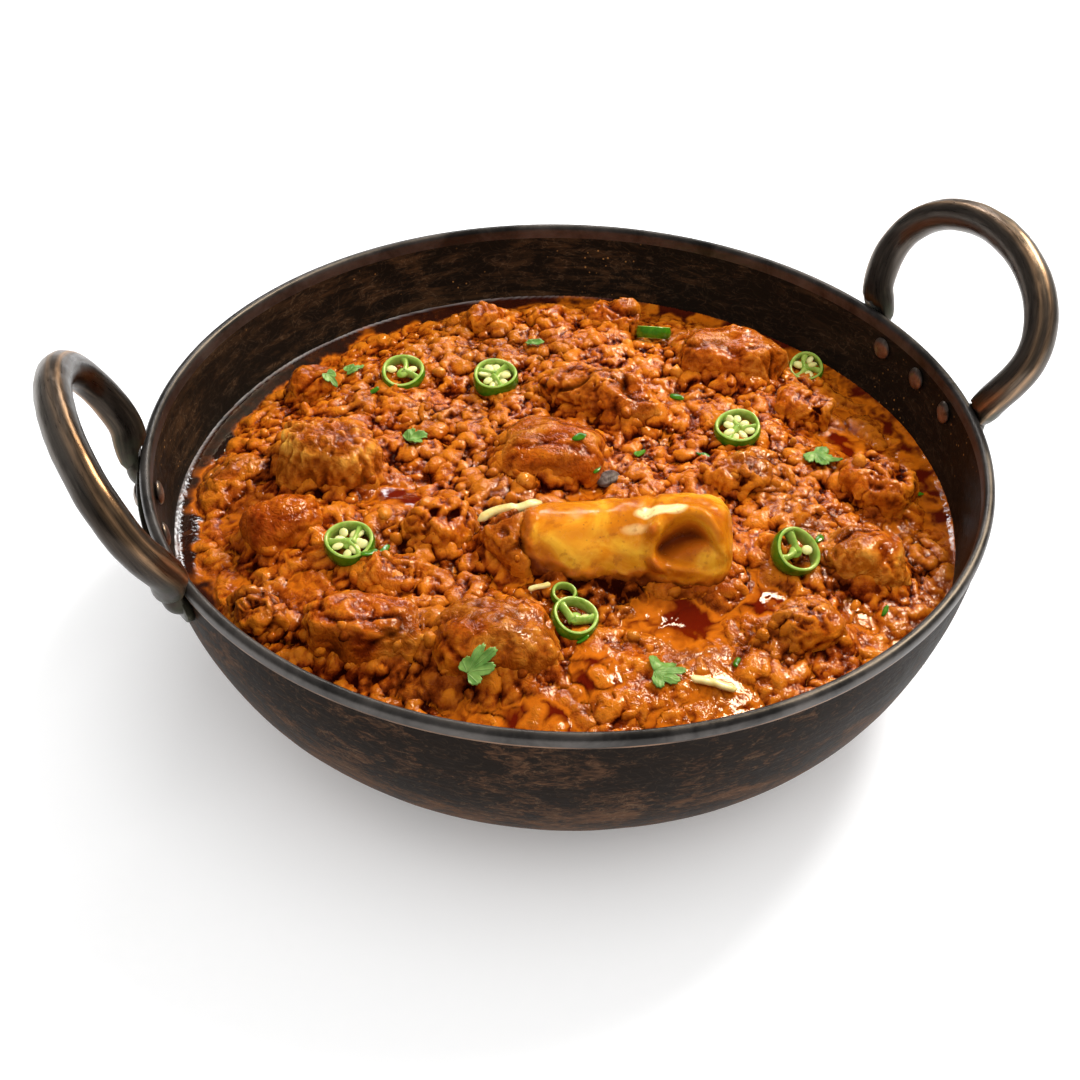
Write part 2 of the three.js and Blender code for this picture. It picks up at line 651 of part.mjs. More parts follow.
for (const [name, { at, yaw, length, half, bend }] of Object.entries(GINGER_SHREDS)) {
  const steps = Math.max(3, Math.round(length / 2.4));
  const stations = Array.from({ length: steps + 1 }, (_, i) => {
    const t = i / steps;
    const middle = bend * Math.sin(2 * Math.PI * t);
    const width = half * (t === 0 || t === 1 ? 0.6 : 1);
    return [(t - 0.5) * length, middle - width, middle + width];
  });
  add(name, draped(at, yaw, stations, 1.6, 0), GINGER);
}

const HUSK_OUTLINE = [[-4.5, -1, 1.5], [-2, -3.2, 2.8], [1, -3.6, 3.4], [4, -1.8, 1]];
add("cardamom_husk", draped([14, -4], 20, HUSK_OUTLINE, 1, 0.4), HUSK);

export default karahi;
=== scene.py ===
# %% [markdown]
# # Mutton karahi in its iron pan
# This notebook dresses a finished CAD model of a pan of mutton karahi: a thick, oily meat curry in
# the round-bottomed iron pan that it was cooked in. The CAD gives every size and place. Blender adds
# what the eye notices: scratched iron, rolled rim, clotted masala, oil, bone, chilli and leaves.
# Lengths in the cells are in millimetres, and are turned into metres where a mesh is made.

import math

import bmesh
import bpy
import numpy as np
from mathutils import Matrix, Vector
from mathutils.bvhtree import BVHTree


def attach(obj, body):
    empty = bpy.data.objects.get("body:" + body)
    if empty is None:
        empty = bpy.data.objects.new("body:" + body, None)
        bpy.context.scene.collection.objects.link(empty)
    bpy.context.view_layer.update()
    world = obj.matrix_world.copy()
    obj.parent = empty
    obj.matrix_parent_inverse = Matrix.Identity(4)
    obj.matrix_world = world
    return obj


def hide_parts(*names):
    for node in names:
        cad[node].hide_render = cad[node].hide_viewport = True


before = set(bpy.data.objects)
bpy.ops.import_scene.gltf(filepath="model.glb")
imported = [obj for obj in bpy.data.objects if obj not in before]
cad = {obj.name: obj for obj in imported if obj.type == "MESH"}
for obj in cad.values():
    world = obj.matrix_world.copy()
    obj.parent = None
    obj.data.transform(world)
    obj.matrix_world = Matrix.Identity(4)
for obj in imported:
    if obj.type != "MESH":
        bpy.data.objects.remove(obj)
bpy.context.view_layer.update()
MM = 0.001

# %% [markdown]
# ## Camera
# The photograph looks down into the pan from the front left. The lens and place were worked out from
# the ellipse of the rim and the size of the base, so the camera is put straight there. It is rolled
# by a little over a degree, because the pan's rim is not quite level in the picture.

# %% Photo camera
FOCAL_PIXELS = 1547.9
FRAME_PIXELS = 1080
SENSOR = 36.0
camera = bpy.data.objects.new("photo_camera", bpy.data.cameras.new("photo_camera"))
bpy.context.scene.collection.objects.link(camera)
camera.data.sensor_width = SENSOR
camera.data.lens = SENSOR * FOCAL_PIXELS / FRAME_PIXELS
camera.data.clip_start = 0.01
camera_place = Vector((-157.7, -389.5, 386.6)) * MM
aim = Vector((-11.9, -7.6, 42.0)) * MM
ROLL = math.radians(1.28)
forward = (aim - camera_place).normalized()
level = forward.cross(Vector((0, 0, 1))).normalized()
upright = level.cross(forward)
side = level * math.cos(ROLL) + upright * math.sin(ROLL)
top = upright * math.cos(ROLL) - level * math.sin(ROLL)
camera.matrix_world = Matrix.Translation(camera_place) @ Matrix((side, top, -forward)).transposed().to_4x4()
bpy.context.scene.camera = camera
print("lens in mm:", round(camera.data.lens, 2))

# %% [markdown]
# ## Floor and light
# The dish stands on white paper. A soft lamp from the upper right and behind throws a soft shadow to
# the front left, and a wide one above fills the dark side with a bright surround, as white walls do
# in a studio. Neither shows in gloss. A small warm panel and a thin strip behind do that instead, so
# that glints on oil stay crisp.

# %% Floor
floor_mesh = bpy.data.meshes.new("white_paper")
REACH = 4.0
floor_mesh.from_pydata(
    [(-REACH, -REACH, 0), (REACH, -REACH, 0), (REACH, REACH, 0), (-REACH, REACH, 0)], [], [(0, 1, 2, 3)]
)
floor = bpy.data.objects.new("white_paper", floor_mesh)
bpy.context.scene.collection.objects.link(floor)
print("floor side in metres:", 2 * REACH)


# %% Lamps
def softbox(name, place, target, width, height, watts, hidden="", color=(1, 1, 1)):
    """A rectangular lamp, in metres and watts. It may be hidden from gloss or from diffuse light."""
    lamp = bpy.data.objects.new(name, bpy.data.lights.new(name, "AREA"))
    bpy.context.scene.collection.objects.link(lamp)
    lamp.data.shape = "RECTANGLE"
    lamp.data.size, lamp.data.size_y = width, height
    lamp.data.energy = watts
    lamp.data.color = color
    lamp.location = place
    direction = Vector(target) - Vector(place)
    lamp.rotation_euler = direction.to_track_quat("-Z", "Y").to_euler()
    lamp.visible_glossy = hidden != "gloss"
    lamp.visible_diffuse = hidden != "diffuse"
    return lamp


DISH = (0, 0, 0.06)
softbox("key_softbox", (0.85, 0.42, 1.08), DISH, 0.42, 0.42, 18.5, "gloss")
softbox("glint_panel", (0.88, 0.44, 1.12), DISH, 0.38, 0.38, 19, "diffuse", (1.0, 0.83, 0.6))
softbox("back_strip", (0.42, 1.1, 0.85), DISH, 0.6, 0.12, 4)
softbox("overhead_softbox", (0.1, -0.75, 2.2), DISH, 2.0, 2.0, 21.5, "gloss")

# %% White surround
SEEN_BRIGHTNESS, GLOSS_BRIGHTNESS = 0.7, 0.03
world = bpy.data.worlds.new("studio")
bpy.context.scene.world = world
world.use_nodes = True
world.node_tree.nodes["Background"].inputs["Color"].default_value = (1, 1, 1, 1)
world_nodes, world_link = world.node_tree.nodes, world.node_tree.links.new
rays = world_nodes.new("ShaderNodeLightPath")
surround = world_nodes.new("ShaderNodeMapRange")
world_link(rays.outputs["Is Glossy Ray"], surround.inputs["Value"])
surround.inputs["To Min"].default_value = SEEN_BRIGHTNESS
surround.inputs["To Max"].default_value = GLOSS_BRIGHTNESS
world_link(surround.outputs["Result"], world_nodes["Background"].inputs["Strength"])
bpy.context.scene.view_settings.view_transform = "Standard"
print("surround:", SEEN_BRIGHTNESS, "seen, and", GLOSS_BRIGHTNESS, "in gloss")


# %% [markdown]
# ## Helpers for materials
# A material is a small graph of nodes. These helpers keep each graph readable: one adds a node and
# sets its plain values, one makes a colour ramp, and one mixes two colours by a mask.

# %% Material helpers
class Finish:
    """A material with a Principled shader, and short ways to add nodes that feed it."""

    def __init__(self, name, **values):
        self.material = bpy.data.materials.new(name)
        self.material.use_nodes = True
        self.tree = self.material.node_tree
        self.shader = self.tree.nodes["Principled BSDF"]
        for socket, value in values.items():
            self.shader.inputs[socket.replace("_", " ")].default_value = value
        self.place = self.node("ShaderNodeTexCoord").outputs["Object"]

    def feed(self, socket, value):
        """Links a node's output to a socket, or sets the socket to a plain value."""
        if isinstance(value, bpy.types.NodeSocket):
            self.tree.links.new(value, socket)
        else:
            socket.default_value = value

    def node(self, kind, inputs=None, **settings):
        made = self.tree.nodes.new(kind)
        for key, value in settings.items():
            setattr(made, key, value)
        for key, value in (inputs or {}).items():
            self.feed(made.inputs[key], value)
        return made

    def link(self, output, socket):
        self.tree.links.new(output, self.shader.inputs[socket])

    def attribute(self, name):
        return self.node("ShaderNodeAttribute", attribute_name=name).outputs["Fac"]

    def stretched(self, scale):
        """Object coordinates in metres, scaled along each axis."""
        return self.node("ShaderNodeMapping", {"Vector": self.place, "Scale": scale}).outputs[0]

    def noise(self, scale, detail=4, rough=0.55, distortion=0.0, where=None):
        inputs = {"Vector": where or self.place, "Scale": scale, "Detail": detail}
        inputs.update({"Roughness": rough, "Distortion": distortion})
        return self.node("ShaderNodeTexNoise", inputs).outputs["Fac"]

    def cells(self, scale):
        return self.node("ShaderNodeTexVoronoi", {"Vector": self.place, "Scale": scale}).outputs["Distance"]

    def ramp(self, value, *stops):
        made = self.node("ShaderNodeValToRGB", {"Fac": value})
        elements = made.color_ramp.elements
        while len(elements) < len(stops):
            elements.new(0.5)
        for element, (position, color) in zip(elements, stops):
            element.position = position
            element.color = (*color, 1) if isinstance(color, tuple) else (color, color, color, 1)
        return made.outputs["Color"]

    def math(self, operation, a, b):
        return self.node("ShaderNodeMath", {0: a, 1: b}, operation=operation).outputs[0]

    def mix(self, mask, a, b):
        """Colour a where the mask is 0, and b where it is 1."""
        a, b = ((*value, 1) if isinstance(value, tuple) else value for value in (a, b))
        return self.node("ShaderNodeMix", {0: mask, 6: a, 7: b}, data_type="RGBA").outputs[2]

    def bump(self, height, strength, depth, under=None):
        inputs = {"Height": height, "Strength": strength, "Distance": depth}
        if under:
            inputs["Normal"] = under
        return self.node("ShaderNodeBump", inputs).outputs[0]


print("ways to add a node:", [name for name in vars(Finish) if not name.startswith("_")])


# %% [markdown]
# ## Helpers for meshes
# Most of the food is made by moving the points of a dense mesh. Numpy does this quickly: noise gives
# slow changes, and "beads" gives the packed round clots that fried onion and ground spice form. The
# noise has the same formula as the CAD's, so the gravy here can follow the gravy there exactly.

# %% Noise and beads
def lattice(i, j, k, seed):
    s = np.sin(i * 127.1 + j * 311.7 + k * 74.7 + seed * 53.3) * 43758.5453
    return s - np.floor(s)


def noise_at(points, size, seed):
    """Smooth noise from -1 to 1 at points (N x 3), with lumps about one size across."""
    q = points / size
    cell = np.floor(q)
    ease = (q - cell) ** 2 * (3 - 2 * (q - cell))
    total = np.zeros(len(points))
    for di in (0, 1):
        for dj in (0, 1):
            for dk in (0, 1):
                weight = (
                    (ease[:, 0] if di else 1 - ease[:, 0])
                    * (ease[:, 1] if dj else 1 - ease[:, 1])
                    * (ease[:, 2] if dk else 1 - ease[:, 2])
                )
                total += weight * lattice(cell[:, 0] + di, cell[:, 1] + dj, cell[:, 2] + dk, seed)
    return 2 * total - 1


def beads_at(points, size, seed):
    """Round clots packed about one size apart: 0 between them, up to 1 on top of one."""
    q = points / size
    cell = np.floor(q)
    best = np.zeros(len(points))
    for di in (-1, 0, 1):
        for dj in (-1, 0, 1):
            for dk in (-1, 0, 1):
                near = cell + (di, dj, dk)
                x, y, z = near.T
                middle = near + np.stack([lattice(x, y, z, seed + s) for s in (1, 2, 3)], 1)
                reach = 0.5 + 0.42 * lattice(x, y, z, seed + 4)
                best = np.maximum(best, 1 - ((middle - q) ** 2).sum(1) / reach**2)
    return np.sqrt(best)


middle_point = np.zeros((1, 3))
print("noise and beads at the middle:", noise_at(middle_point, 10, 1), beads_at(middle_point, 10, 1))

# %% Three sizes of masala
def smoothstep(x, low, high):
    t = np.clip((x - low) / (high - low), 0, 1)
    return t * t * (3 - 2 * t)


def warped(points, seed):
    """Points pushed about by noise, so that round clots turn into wriggling ones."""
    bend = np.stack([noise_at(points, 5.5, seed + s) for s in (31, 32, 33)], 1)
    curl = np.stack([noise_at(points, 2.6, seed + s) for s in (34, 35, 36)], 1)
    return points + 2.4 * bend + 1.1 * curl


def folds_at(points, size, seed):
    """Soft ridges that wriggle, 0 to 1."""
    return 1 - smoothstep(np.abs(noise_at(points, size, seed)), 0, 0.6)


def levels_at(points, seed=0):
    """Three sizes of masala, each 0 to 1: large clumps, clots on them, and grains on the clots."""
    q = warped(points, seed)
    rough = 0.5 + 0.5 * noise_at(points, 3.4, seed + 43)
    clots = 0.42 * beads_at(q, 5.2, seed + 11) + 0.33 * folds_at(q, 4.8, seed + 41) + 0.25 * rough
    grains = 0.5 * beads_at(q, 2.4, seed + 21) + 0.5 * folds_at(q, 2.2, seed + 42)
    return beads_at(q, 9.5, seed + 1), clots, grains


def crest_shade(fine, coarse):
    """0 in creases, 1 on crests, from how far a skin stands above two smoothed copies of itself."""
    return np.clip(0.55 + 0.12 * fine / fine.std() + 0.19 * coarse / coarse.std(), 0, 1)


print("clumps, clots and grains at the middle:", *levels_at(middle_point))


# %% Mesh helpers
def mesh_object(name, points_mm, faces, material):
    """A new smooth mesh object at the origin, from points in millimetres."""
    mesh = bpy.data.meshes.new(name)
    mesh.from_pydata((np.asarray(points_mm) * MM).tolist(), [], faces)
    mesh.materials.append(material)
    mesh.polygons.foreach_set("use_smooth", [True] * len(mesh.polygons))
    made = bpy.data.objects.new(name, mesh)
    bpy.context.scene.collection.objects.link(made)
    return made


def set_attribute(piece, name, values):
    layer = piece.data.attributes.new(name, "FLOAT", "POINT")
    layer.data.foreach_set("value", np.asarray(values, np.float32))


def points_of(piece):
    points = np.empty(len(piece.data.vertices) * 3, np.float32)
    piece.data.vertices.foreach_get("co", points)
    return points.reshape(-1, 3).astype(float) / MM


def move_points(piece, points_mm):
    piece.data.vertices.foreach_set("co", (np.asarray(points_mm) * MM).astype(np.float32).ravel())
    piece.data.update()


def normals_of(piece):
    normals = np.empty(len(piece.data.vertices) * 3, np.float32)
    piece.data.vertex_normals.foreach_get("vector", normals)
    return normals.reshape(-1, 3).astype(float)


print("loose points of the CAD gravy:", len(points_of(cad["gravy"])))

# %% Helpers that change a mesh
def relaxed(piece, p, rounds):
    """Points moved to the middle of their neighbours, a number of times over."""
    edges = np.empty(len(piece.data.edges) * 2, np.int32)
    piece.data.edges.foreach_get("vertices", edges)
    a, b = edges.reshape(-1, 2).T
    ends, others = np.concatenate([a, b]), np.concatenate([b, a])
    degree = np.bincount(ends, minlength=len(p))[:, None]
    for _ in range(rounds):
        p = np.stack([np.bincount(ends, p[others, k], len(p)) for k in range(3)], 1) / degree
    return p


def merged_copy(node, name):
    """A copy of a CAD node with its loose triangles joined. The node itself is never changed."""
    mesh = cad[node].data.copy()
    mesh.name = name
    form = bmesh.new()
    form.from_mesh(mesh)
    bmesh.ops.remove_doubles(form, verts=form.verts, dist=1e-5)
    form.to_mesh(mesh)
    form.free()
    made = bpy.data.objects.new(name, mesh)
    bpy.context.scene.collection.objects.link(made)
    return made


def freeze(piece, material=None):
    """Applies a piece's modifiers, so that what is left is a plain mesh."""
    evaluated = piece.evaluated_get(bpy.context.evaluated_depsgraph_get())
    mesh = bpy.data.meshes.new_from_object(evaluated)
    piece.modifiers.clear()
    old, piece.data = piece.data, mesh
    bpy.data.meshes.remove(old)
    if material:
        mesh.materials.clear()
        mesh.materials.append(material)
    mesh.polygons.foreach_set("use_smooth", [True] * len(mesh.polygons))
    return piece


def rings_mesh(rings, wrap=False):
    """Points and faces of a skin through rings of equal count. A middle point closes each open end."""
    rings = np.asarray(rings)
    count, around = rings.shape[:2]
    points = rings.reshape(-1, 3)
    a = np.arange(around)
    b = (a + 1) % around
    faces = []
    for i in range(count if wrap else count - 1):
        low, high = i * around, ((i + 1) % count) * around
        faces += np.stack([low + a, low + b, high + b, high + a], 1).tolist()
    if not wrap:
        first, last = len(points), len(points) + 1
        points = np.vstack([points, rings[0].mean(0), rings[-1].mean(0)])
        end = (count - 1) * around
        faces += [[first, j, i] for i, j in zip(a.tolist(), b.tolist())]
        faces += [[last, end + i, end + j] for i, j in zip(a.tolist(), b.tolist())]
    return points, faces


def outward(piece):
    """Turns every face of a closed mesh outwards."""
    form = bmesh.new()
    form.from_mesh(piece.data)
    bmesh.ops.recalc_face_normals(form, faces=form.faces)
    form.to_mesh(piece.data)
    form.free()
    return piece


print("faces of a skin through two triangles:", len(rings_mesh(np.arange(18).reshape(2, 3, 3))[1]))


# %% [markdown]
# ## The iron of the pan
# The pan is thin iron, dark from heat and oil. Scrubbing has worn it brown in flecks that lie along
# the wall, more of them towards the base, and left curly scratches. The flecks come from noise that
# is squeezed in height, so it stretches round the pan. Inside lie golden specks of burnt oil.

# %% Iron finishes
PAN_HEIGHT = 82.0


def iron_finish(name, inside):
    iron = Finish(name, Specular_IOR_Level=0.06 if inside else 0.03)
    if inside:
        streaks = iron.noise(17, 8, 0.75, 0.8, iron.stretched((1, 1, 2.0)))
        fine_streaks = iron.noise(60, 5, 0.75, 0.6, iron.stretched((1, 1, 5)))
    else:
        streaks = iron.noise(42, 5, 0.65, 0.8, iron.stretched((1, 1, 1.7)))
        fine_streaks = iron.noise(190, 6, 0.72, 1.4, iron.stretched((1, 1, 2.4)))
    curls = iron.noise(95, 2, 0.5, 2.2, iron.stretched((1, 1, 1.6)))
    scratch = iron.ramp(curls, (0.47, 0.0), (0.495, 1.0), (0.52, 0.0))
    wear = iron.math("MULTIPLY", iron.math("ADD", streaks, fine_streaks), 0.5)
    if inside:
        patches = iron.ramp(iron.noise(11, 3, 0.5, 0.0, iron.stretched((1, 1, 2))), (0.35, 0.25), (0.62, 1.0))
        mask = iron.math("MULTIPLY", iron.ramp(wear, (0.48, 0.0), (0.62, 1.0)), patches)
        dark, brown = (0.010, 0.0072, 0.005), (0.075, 0.037, 0.016)
    else:
        height = iron.node("ShaderNodeSeparateXYZ", {0: iron.place}).outputs["Z"]
        low = iron.ramp(iron.math("DIVIDE", height, PAN_HEIGHT * MM), (0.15, 1.0), (0.8, 0.0))
        more_below = iron.math("ADD", wear, iron.math("MULTIPLY", low, 0.13))
        mask = iron.ramp(more_below, (0.515, 0.0), (0.65, 1.0))
        dark, brown = (0.0135, 0.0092, 0.007), (0.105, 0.051, 0.027)
    color = iron.mix(mask, dark, brown)
    scratched = iron.math("MULTIPLY", scratch, iron.math("ADD", iron.math("MULTIPLY", mask, 0.5), 0.12))
    color = iron.mix(scratched, color, (0.17, 0.105, 0.06))
    if inside:
        specks = iron.ramp(iron.cells(330), (0.07, 1.0), (0.15, 0.0))
        sparse = iron.ramp(iron.noise(26, 3), (0.52, 0.0), (0.62, 1.0))
        color = iron.mix(iron.math("MULTIPLY", specks, sparse), color, (0.42, 0.2, 0.06))
        lines = iron.noise(60, 3, 0.6, 0.0, iron.stretched((0.25, 0.25, 14)))
    else:
        lines = iron.noise(120, 3, 0.6, 0.0, iron.stretched((0.4, 0.4, 5)))
    iron.link(color, "Base Color")
    iron.link(iron.ramp(wear, (0.3, 0.36), (0.7, 0.6)), "Roughness")
    first = iron.bump(lines, 0.25, 0.0004)
    second = iron.bump(iron.noise(210, 4, 0.6, 0.8), 0.35, 0.0004, first)
    iron.link(iron.bump(scratch, -0.2, 0.0002, second), "Normal")
    return iron.material


OUTER_IRON = iron_finish("scrubbed_outer_iron", inside=False)
INNER_IRON = iron_finish("oiled_inner_iron", inside=True)
print("iron finishes:", OUTER_IRON.name, INNER_IRON.name)

# %% Rim finishes
def rim_finish():
    rim = Finish("worn_steel_rim", Metallic=0.7, Roughness=0.34)
    rubbed = rim.noise(55, 5, 0.65, 0.4)
    rim.link(rim.ramp(rubbed, (0.35, (0.03, 0.027, 0.025)), (0.65, (0.12, 0.108, 0.1))), "Base Color")
    rim.link(rim.ramp(rubbed, (0.3, 0.28), (0.7, 0.5)), "Roughness")
    rim.link(rim.bump(rim.noise(260, 4, 0.6), 0.3, 0.0003), "Normal")
    return rim.material


RIM_STEEL = rim_finish()


def copper_edge_finish():
    edge = Finish("copper_brown_edge", Metallic=0.7, Roughness=0.42)
    copper = edge.ramp(edge.noise(70, 4), (0.35, (0.06, 0.035, 0.022)), (0.65, (0.3, 0.17, 0.1)))
    edge.link(copper, "Base Color")
    return edge.material


COPPER_EDGE = copper_edge_finish()
print("rim finishes:", RIM_STEEL.name, COPPER_EDGE.name)

# %% [markdown]
# ## The pan
# The wall is one turned profile, with the CAD's own curve: it leaves the flat base steeply and grows
# upright towards the lip. The lip is a rolled bead. A lathe could be a Screw modifier, but a direct
# ring mesh gives control over which material each band of faces gets.

# %% Pan sizes, as in the CAD
RIM_RADIUS = 140.4
WALL_TOP_RADIUS = 139.4
BASE_RADIUS = 66.0
WALL = 2.8
WALL_FULLNESS = 0.7
STRAP_TURN = 82.9
GRAVY_LEVEL = 52.0


def wall_point(turn):
    """The wall's outside at a turn from 0 (base) to 90 (lip): radius, height, outward normal."""
    t = np.radians(turn)
    span = WALL_TOP_RADIUS - BASE_RADIUS
    r = BASE_RADIUS + span * np.sin(t) ** WALL_FULLNESS
    z = PAN_HEIGHT * (1 - np.cos(t))
    dr = span * WALL_FULLNESS * np.sin(t) ** (WALL_FULLNESS - 1) * np.cos(t)
    dz = PAN_HEIGHT * np.sin(t)
    length = np.hypot(dr, dz)
    return r, z, dz / length, -dr / length


def wall_radius(z):
    t = np.arccos(np.clip(1 - np.asarray(z, float) / PAN_HEIGHT, -1, 1))
    return BASE_RADIUS + (WALL_TOP_RADIUS - BASE_RADIUS) * np.sin(t) ** WALL_FULLNESS


print("wall radius at the gravy in mm:", round(float(wall_radius(GRAVY_LEVEL)), 1))


# %% Turn the pan
def turned_pan():
    turns = np.concatenate([np.linspace(2, 12, 6), np.linspace(16, 86.5, 34)])
    r, z, nr, nz = wall_point(turns)
    outside = list(zip(r, z))
    inside = list(zip(r - WALL * nr, z - WALL * nz))[::-1]
    lip = [(139.35, 77.3), (139.75, 77.6), (140.05, 77.75), (140.2, 78.0), (140.3, 78.5), (140.38, 79.2),
           (140.38, 80.2), (140.2, 80.95), (139.7, 81.6), (139.0, 81.92), (138.2, 81.98), (137.5, 81.75),
           (137.0, 81.2), (136.75, 80.4), (136.68, 79.6)]
    bands = [(r, z, 0) for r, z in [(0, 0.01), (30, 0.01), (60, 0.01), (65, 0.01), (66, 0.12)] + outside]
    bands += [(r, z, 2 if i in (1, 2, 3) else 3) for i, (r, z) in enumerate(lip)]
    bands += [(r, z, 1) for r, z in inside + [(60, WALL), (30, WALL), (0, WALL)]]
    segments = 256
    turn = np.linspace(0, 2 * np.pi, segments, endpoint=False)
    rings = [
        np.stack([r * np.cos(turn), r * np.sin(turn), np.full(segments, z)], 1) for r, z, _ in bands if r > 0
    ]
    points, faces = rings_mesh(rings)
    pan = mesh_object("iron_pan", points, faces, OUTER_IRON)
    for material in (INNER_IRON, COPPER_EDGE, RIM_STEEL):
        pan.data.materials.append(material)
    kinds = [kind for r, _, kind in bands if r > 0]
    for face in pan.data.polygons:
        ring = min(face.vertices) // segments
        face.material_index = kinds[min(ring, len(kinds) - 1)]
    p = points_of(pan)
    spread = smoothstep(p[:, 2], 3, 20) * (1 - smoothstep(p[:, 2], 70, 78))
    dents = 0.22 * noise_at(p, 24, 5) + 0.1 * noise_at(p, 9, 6)
    reach = np.hypot(p[:, 0], p[:, 1]) + 1e-6
    p[:, :2] *= (1 + dents * spread / reach)[:, None]
    move_points(pan, p)
    return outward(pan)


pan = turned_pan()
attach(pan, "root")
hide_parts("karahi_pan")
print("pan faces:", len(pan.data.polygons))

# %% [markdown]
# ## Handles
# Each handle is a round iron rod bent to a loop and welded to a curved strap. A rod that follows a
# path is what Geometry Nodes are good at: a path goes in, Curve to Mesh sweeps a circle along it. The
# rod has faint ridges from rolling, which show copper where they rub, and a bright top that is partly
# wear and partly painted highlight.

# %% Bronze-brown rod finish
def rod_finish():
    rod = Finish("worn_rod_iron", Metallic=0.75, Roughness=0.32)
    around = rod.attribute("around")
    along = rod.node("ShaderNodeCombineXYZ", {"X": rod.math("MULTIPLY", around, 0.06)}).outputs[0]
    grain_place = rod.node("ShaderNodeVectorMath", {0: rod.place, 1: along}, operation="ADD").outputs[0]
    grain = rod.noise(70, 5, 0.65, 0.5, grain_place)
    seams = rod.attribute("seam")
    worn = rod.attribute("worn")
    base = rod.ramp(
        grain, (0.3, (0.016, 0.011, 0.008)), (0.55, (0.046, 0.034, 0.025)), (0.75, (0.11, 0.08, 0.055))
    )
    rubbed = rod.math("MULTIPLY", seams, rod.ramp(grain, (0.35, 0.3), (0.6, 1.0)))
    copper = rod.mix(rubbed, base, (0.46, 0.27, 0.14))
    # Wear and painted highlight: a pale grey where the rod faces up and out.
    bright = rod.math("MULTIPLY", worn, rod.ramp(grain, (0.3, 0.55), (0.6, 1.0)))
    color = rod.mix(bright, copper, (0.34, 0.3, 0.26))
    grime = rod.math("MULTIPLY", rod.attribute("foot"), rod.ramp(rod.noise(160, 4), (0.42, 0.0), (0.6, 0.7)))
    rod.link(rod.mix(grime, color, (0.06, 0.065, 0.04)), "Base Color")
    polish = rod.ramp(grain, (0.3, 0.24), (0.7, 0.42))
    rod.link(rod.math("ADD", rod.math("MULTIPLY", grime, 0.3), polish), "Roughness")
    rod.link(rod.bump(rod.noise(240, 4, 0.6), 0.3, 0.0003), "Normal")
    return rod.material


ROD_IRON = rod_finish()
print("rod finish nodes:", len(ROD_IRON.node_tree.nodes))

# %% Loop path, as in the CAD
ROD_RADIUS = 5.7
LOOP_ROOT_RADIUS = 134.5
LOOP_TILT = math.radians(61)
LOOP_CENTRE, LOOP_REACH, LOOP_HALF_WIDTH = 22.5, 28.3, 42.8
LOOP_ARC = math.radians(132)
LOOP_LEG, LOOP_BEND, LEG_CLEARANCE = 11.0, 3.0, 2.5


def loop_path(t):
    angle = (2 * t - 1) * LOOP_ARC
    leg = np.maximum(0, (np.abs(angle) - np.pi / 2) / (LOOP_ARC - np.pi / 2)) ** 2
    up = LOOP_CENTRE + LOOP_REACH * np.cos(angle) - LOOP_LEG * leg
    y = LOOP_HALF_WIDTH * np.sin(angle)
    sloping = LOOP_ROOT_RADIUS + up * math.cos(LOOP_TILT)
    outside = np.sqrt((RIM_RADIUS + LEG_CLEARANCE) ** 2 - y**2)
    x = (sloping + outside + np.hypot(sloping - outside, LOOP_BEND)) / 2
    return np.stack([x, y, PAN_HEIGHT + up * math.sin(LOOP_TILT)], 1)


rod_line = loop_path(np.linspace(0, 1, 200))
rod_length = np.linalg.norm(np.diff(rod_line, axis=0), axis=1).sum()
print("length of a handle's rod in mm:", round(float(rod_length)))


# %% Geometry Nodes: sweep a rod along a path
def socket(tree, name, kind, default=None):
    made = tree.interface.new_socket(name, in_out="INPUT", socket_type=kind)
    if default is not None:
        made.default_value = default
    return made.identifier


def rod_sweep_tree():
    """Mesh edges in, a rod with round section out."""
    tree = bpy.data.node_groups.new("sweep_rod", "GeometryNodeTree")
    tree.interface.new_socket("Geometry", in_out="OUTPUT", socket_type="NodeSocketGeometry")
    names = {"Path": socket(tree, "Path", "NodeSocketGeometry")}
    names["Radius"] = socket(tree, "Radius", "NodeSocketFloat", 0.005)
    names["Sides"] = socket(tree, "Sides", "NodeSocketInt", 32)
    names["Finish"] = socket(tree, "Finish", "NodeSocketMaterial")
    n, link = tree.nodes, tree.links.new
    given, out = n.new("NodeGroupInput"), n.new("NodeGroupOutput")
    path, circle = n.new("GeometryNodeMeshToCurve"), n.new("GeometryNodeCurvePrimitiveCircle")
    sweep, real = n.new("GeometryNodeCurveToMesh"), n.new("GeometryNodeRealizeInstances")
    finish = n.new("GeometryNodeSetMaterial")
    sweep.inputs["Fill Caps"].default_value = True
    link(given.outputs["Path"], path.inputs["Mesh"])
    link(given.outputs["Radius"], circle.inputs["Radius"])
    link(given.outputs["Sides"], circle.inputs["Resolution"])
    link(path.outputs["Curve"], sweep.inputs["Curve"])
    link(circle.outputs["Curve"], sweep.inputs["Profile Curve"])
    link(sweep.outputs["Mesh"], real.inputs["Geometry"])
    link(real.outputs["Geometry"], finish.inputs["Geometry"])
    link(given.outputs["Finish"], finish.inputs["Material"])
    link(finish.outputs["Geometry"], out.inputs["Geometry"])
    return tree, names


ROD_TREE, ROD_INPUTS = rod_sweep_tree()
print("sweep tree inputs:", ", ".join(ROD_INPUTS))

# %% Sweep a rod
ROD_STEPS, ROD_SIDES = 110, 32


def swept_rod(name, path_mm, radius_mm, sides, material):
    """A rod along a path, through the sweep tree, as a plain mesh."""
    mesh = bpy.data.meshes.new(name)
    mesh.from_pydata((path_mm * MM).tolist(), [(i, i + 1) for i in range(len(path_mm) - 1)], [])
    rod = bpy.data.objects.new(name, mesh)
    bpy.context.scene.collection.objects.link(rod)
    modifier = rod.modifiers.new("sweep", "NODES")
    modifier.node_group = ROD_TREE
    modifier[ROD_INPUTS["Radius"]] = radius_mm * MM
    modifier[ROD_INPUTS["Sides"]] = sides
    modifier[ROD_INPUTS["Finish"]] = material
    return freeze(rod, material)


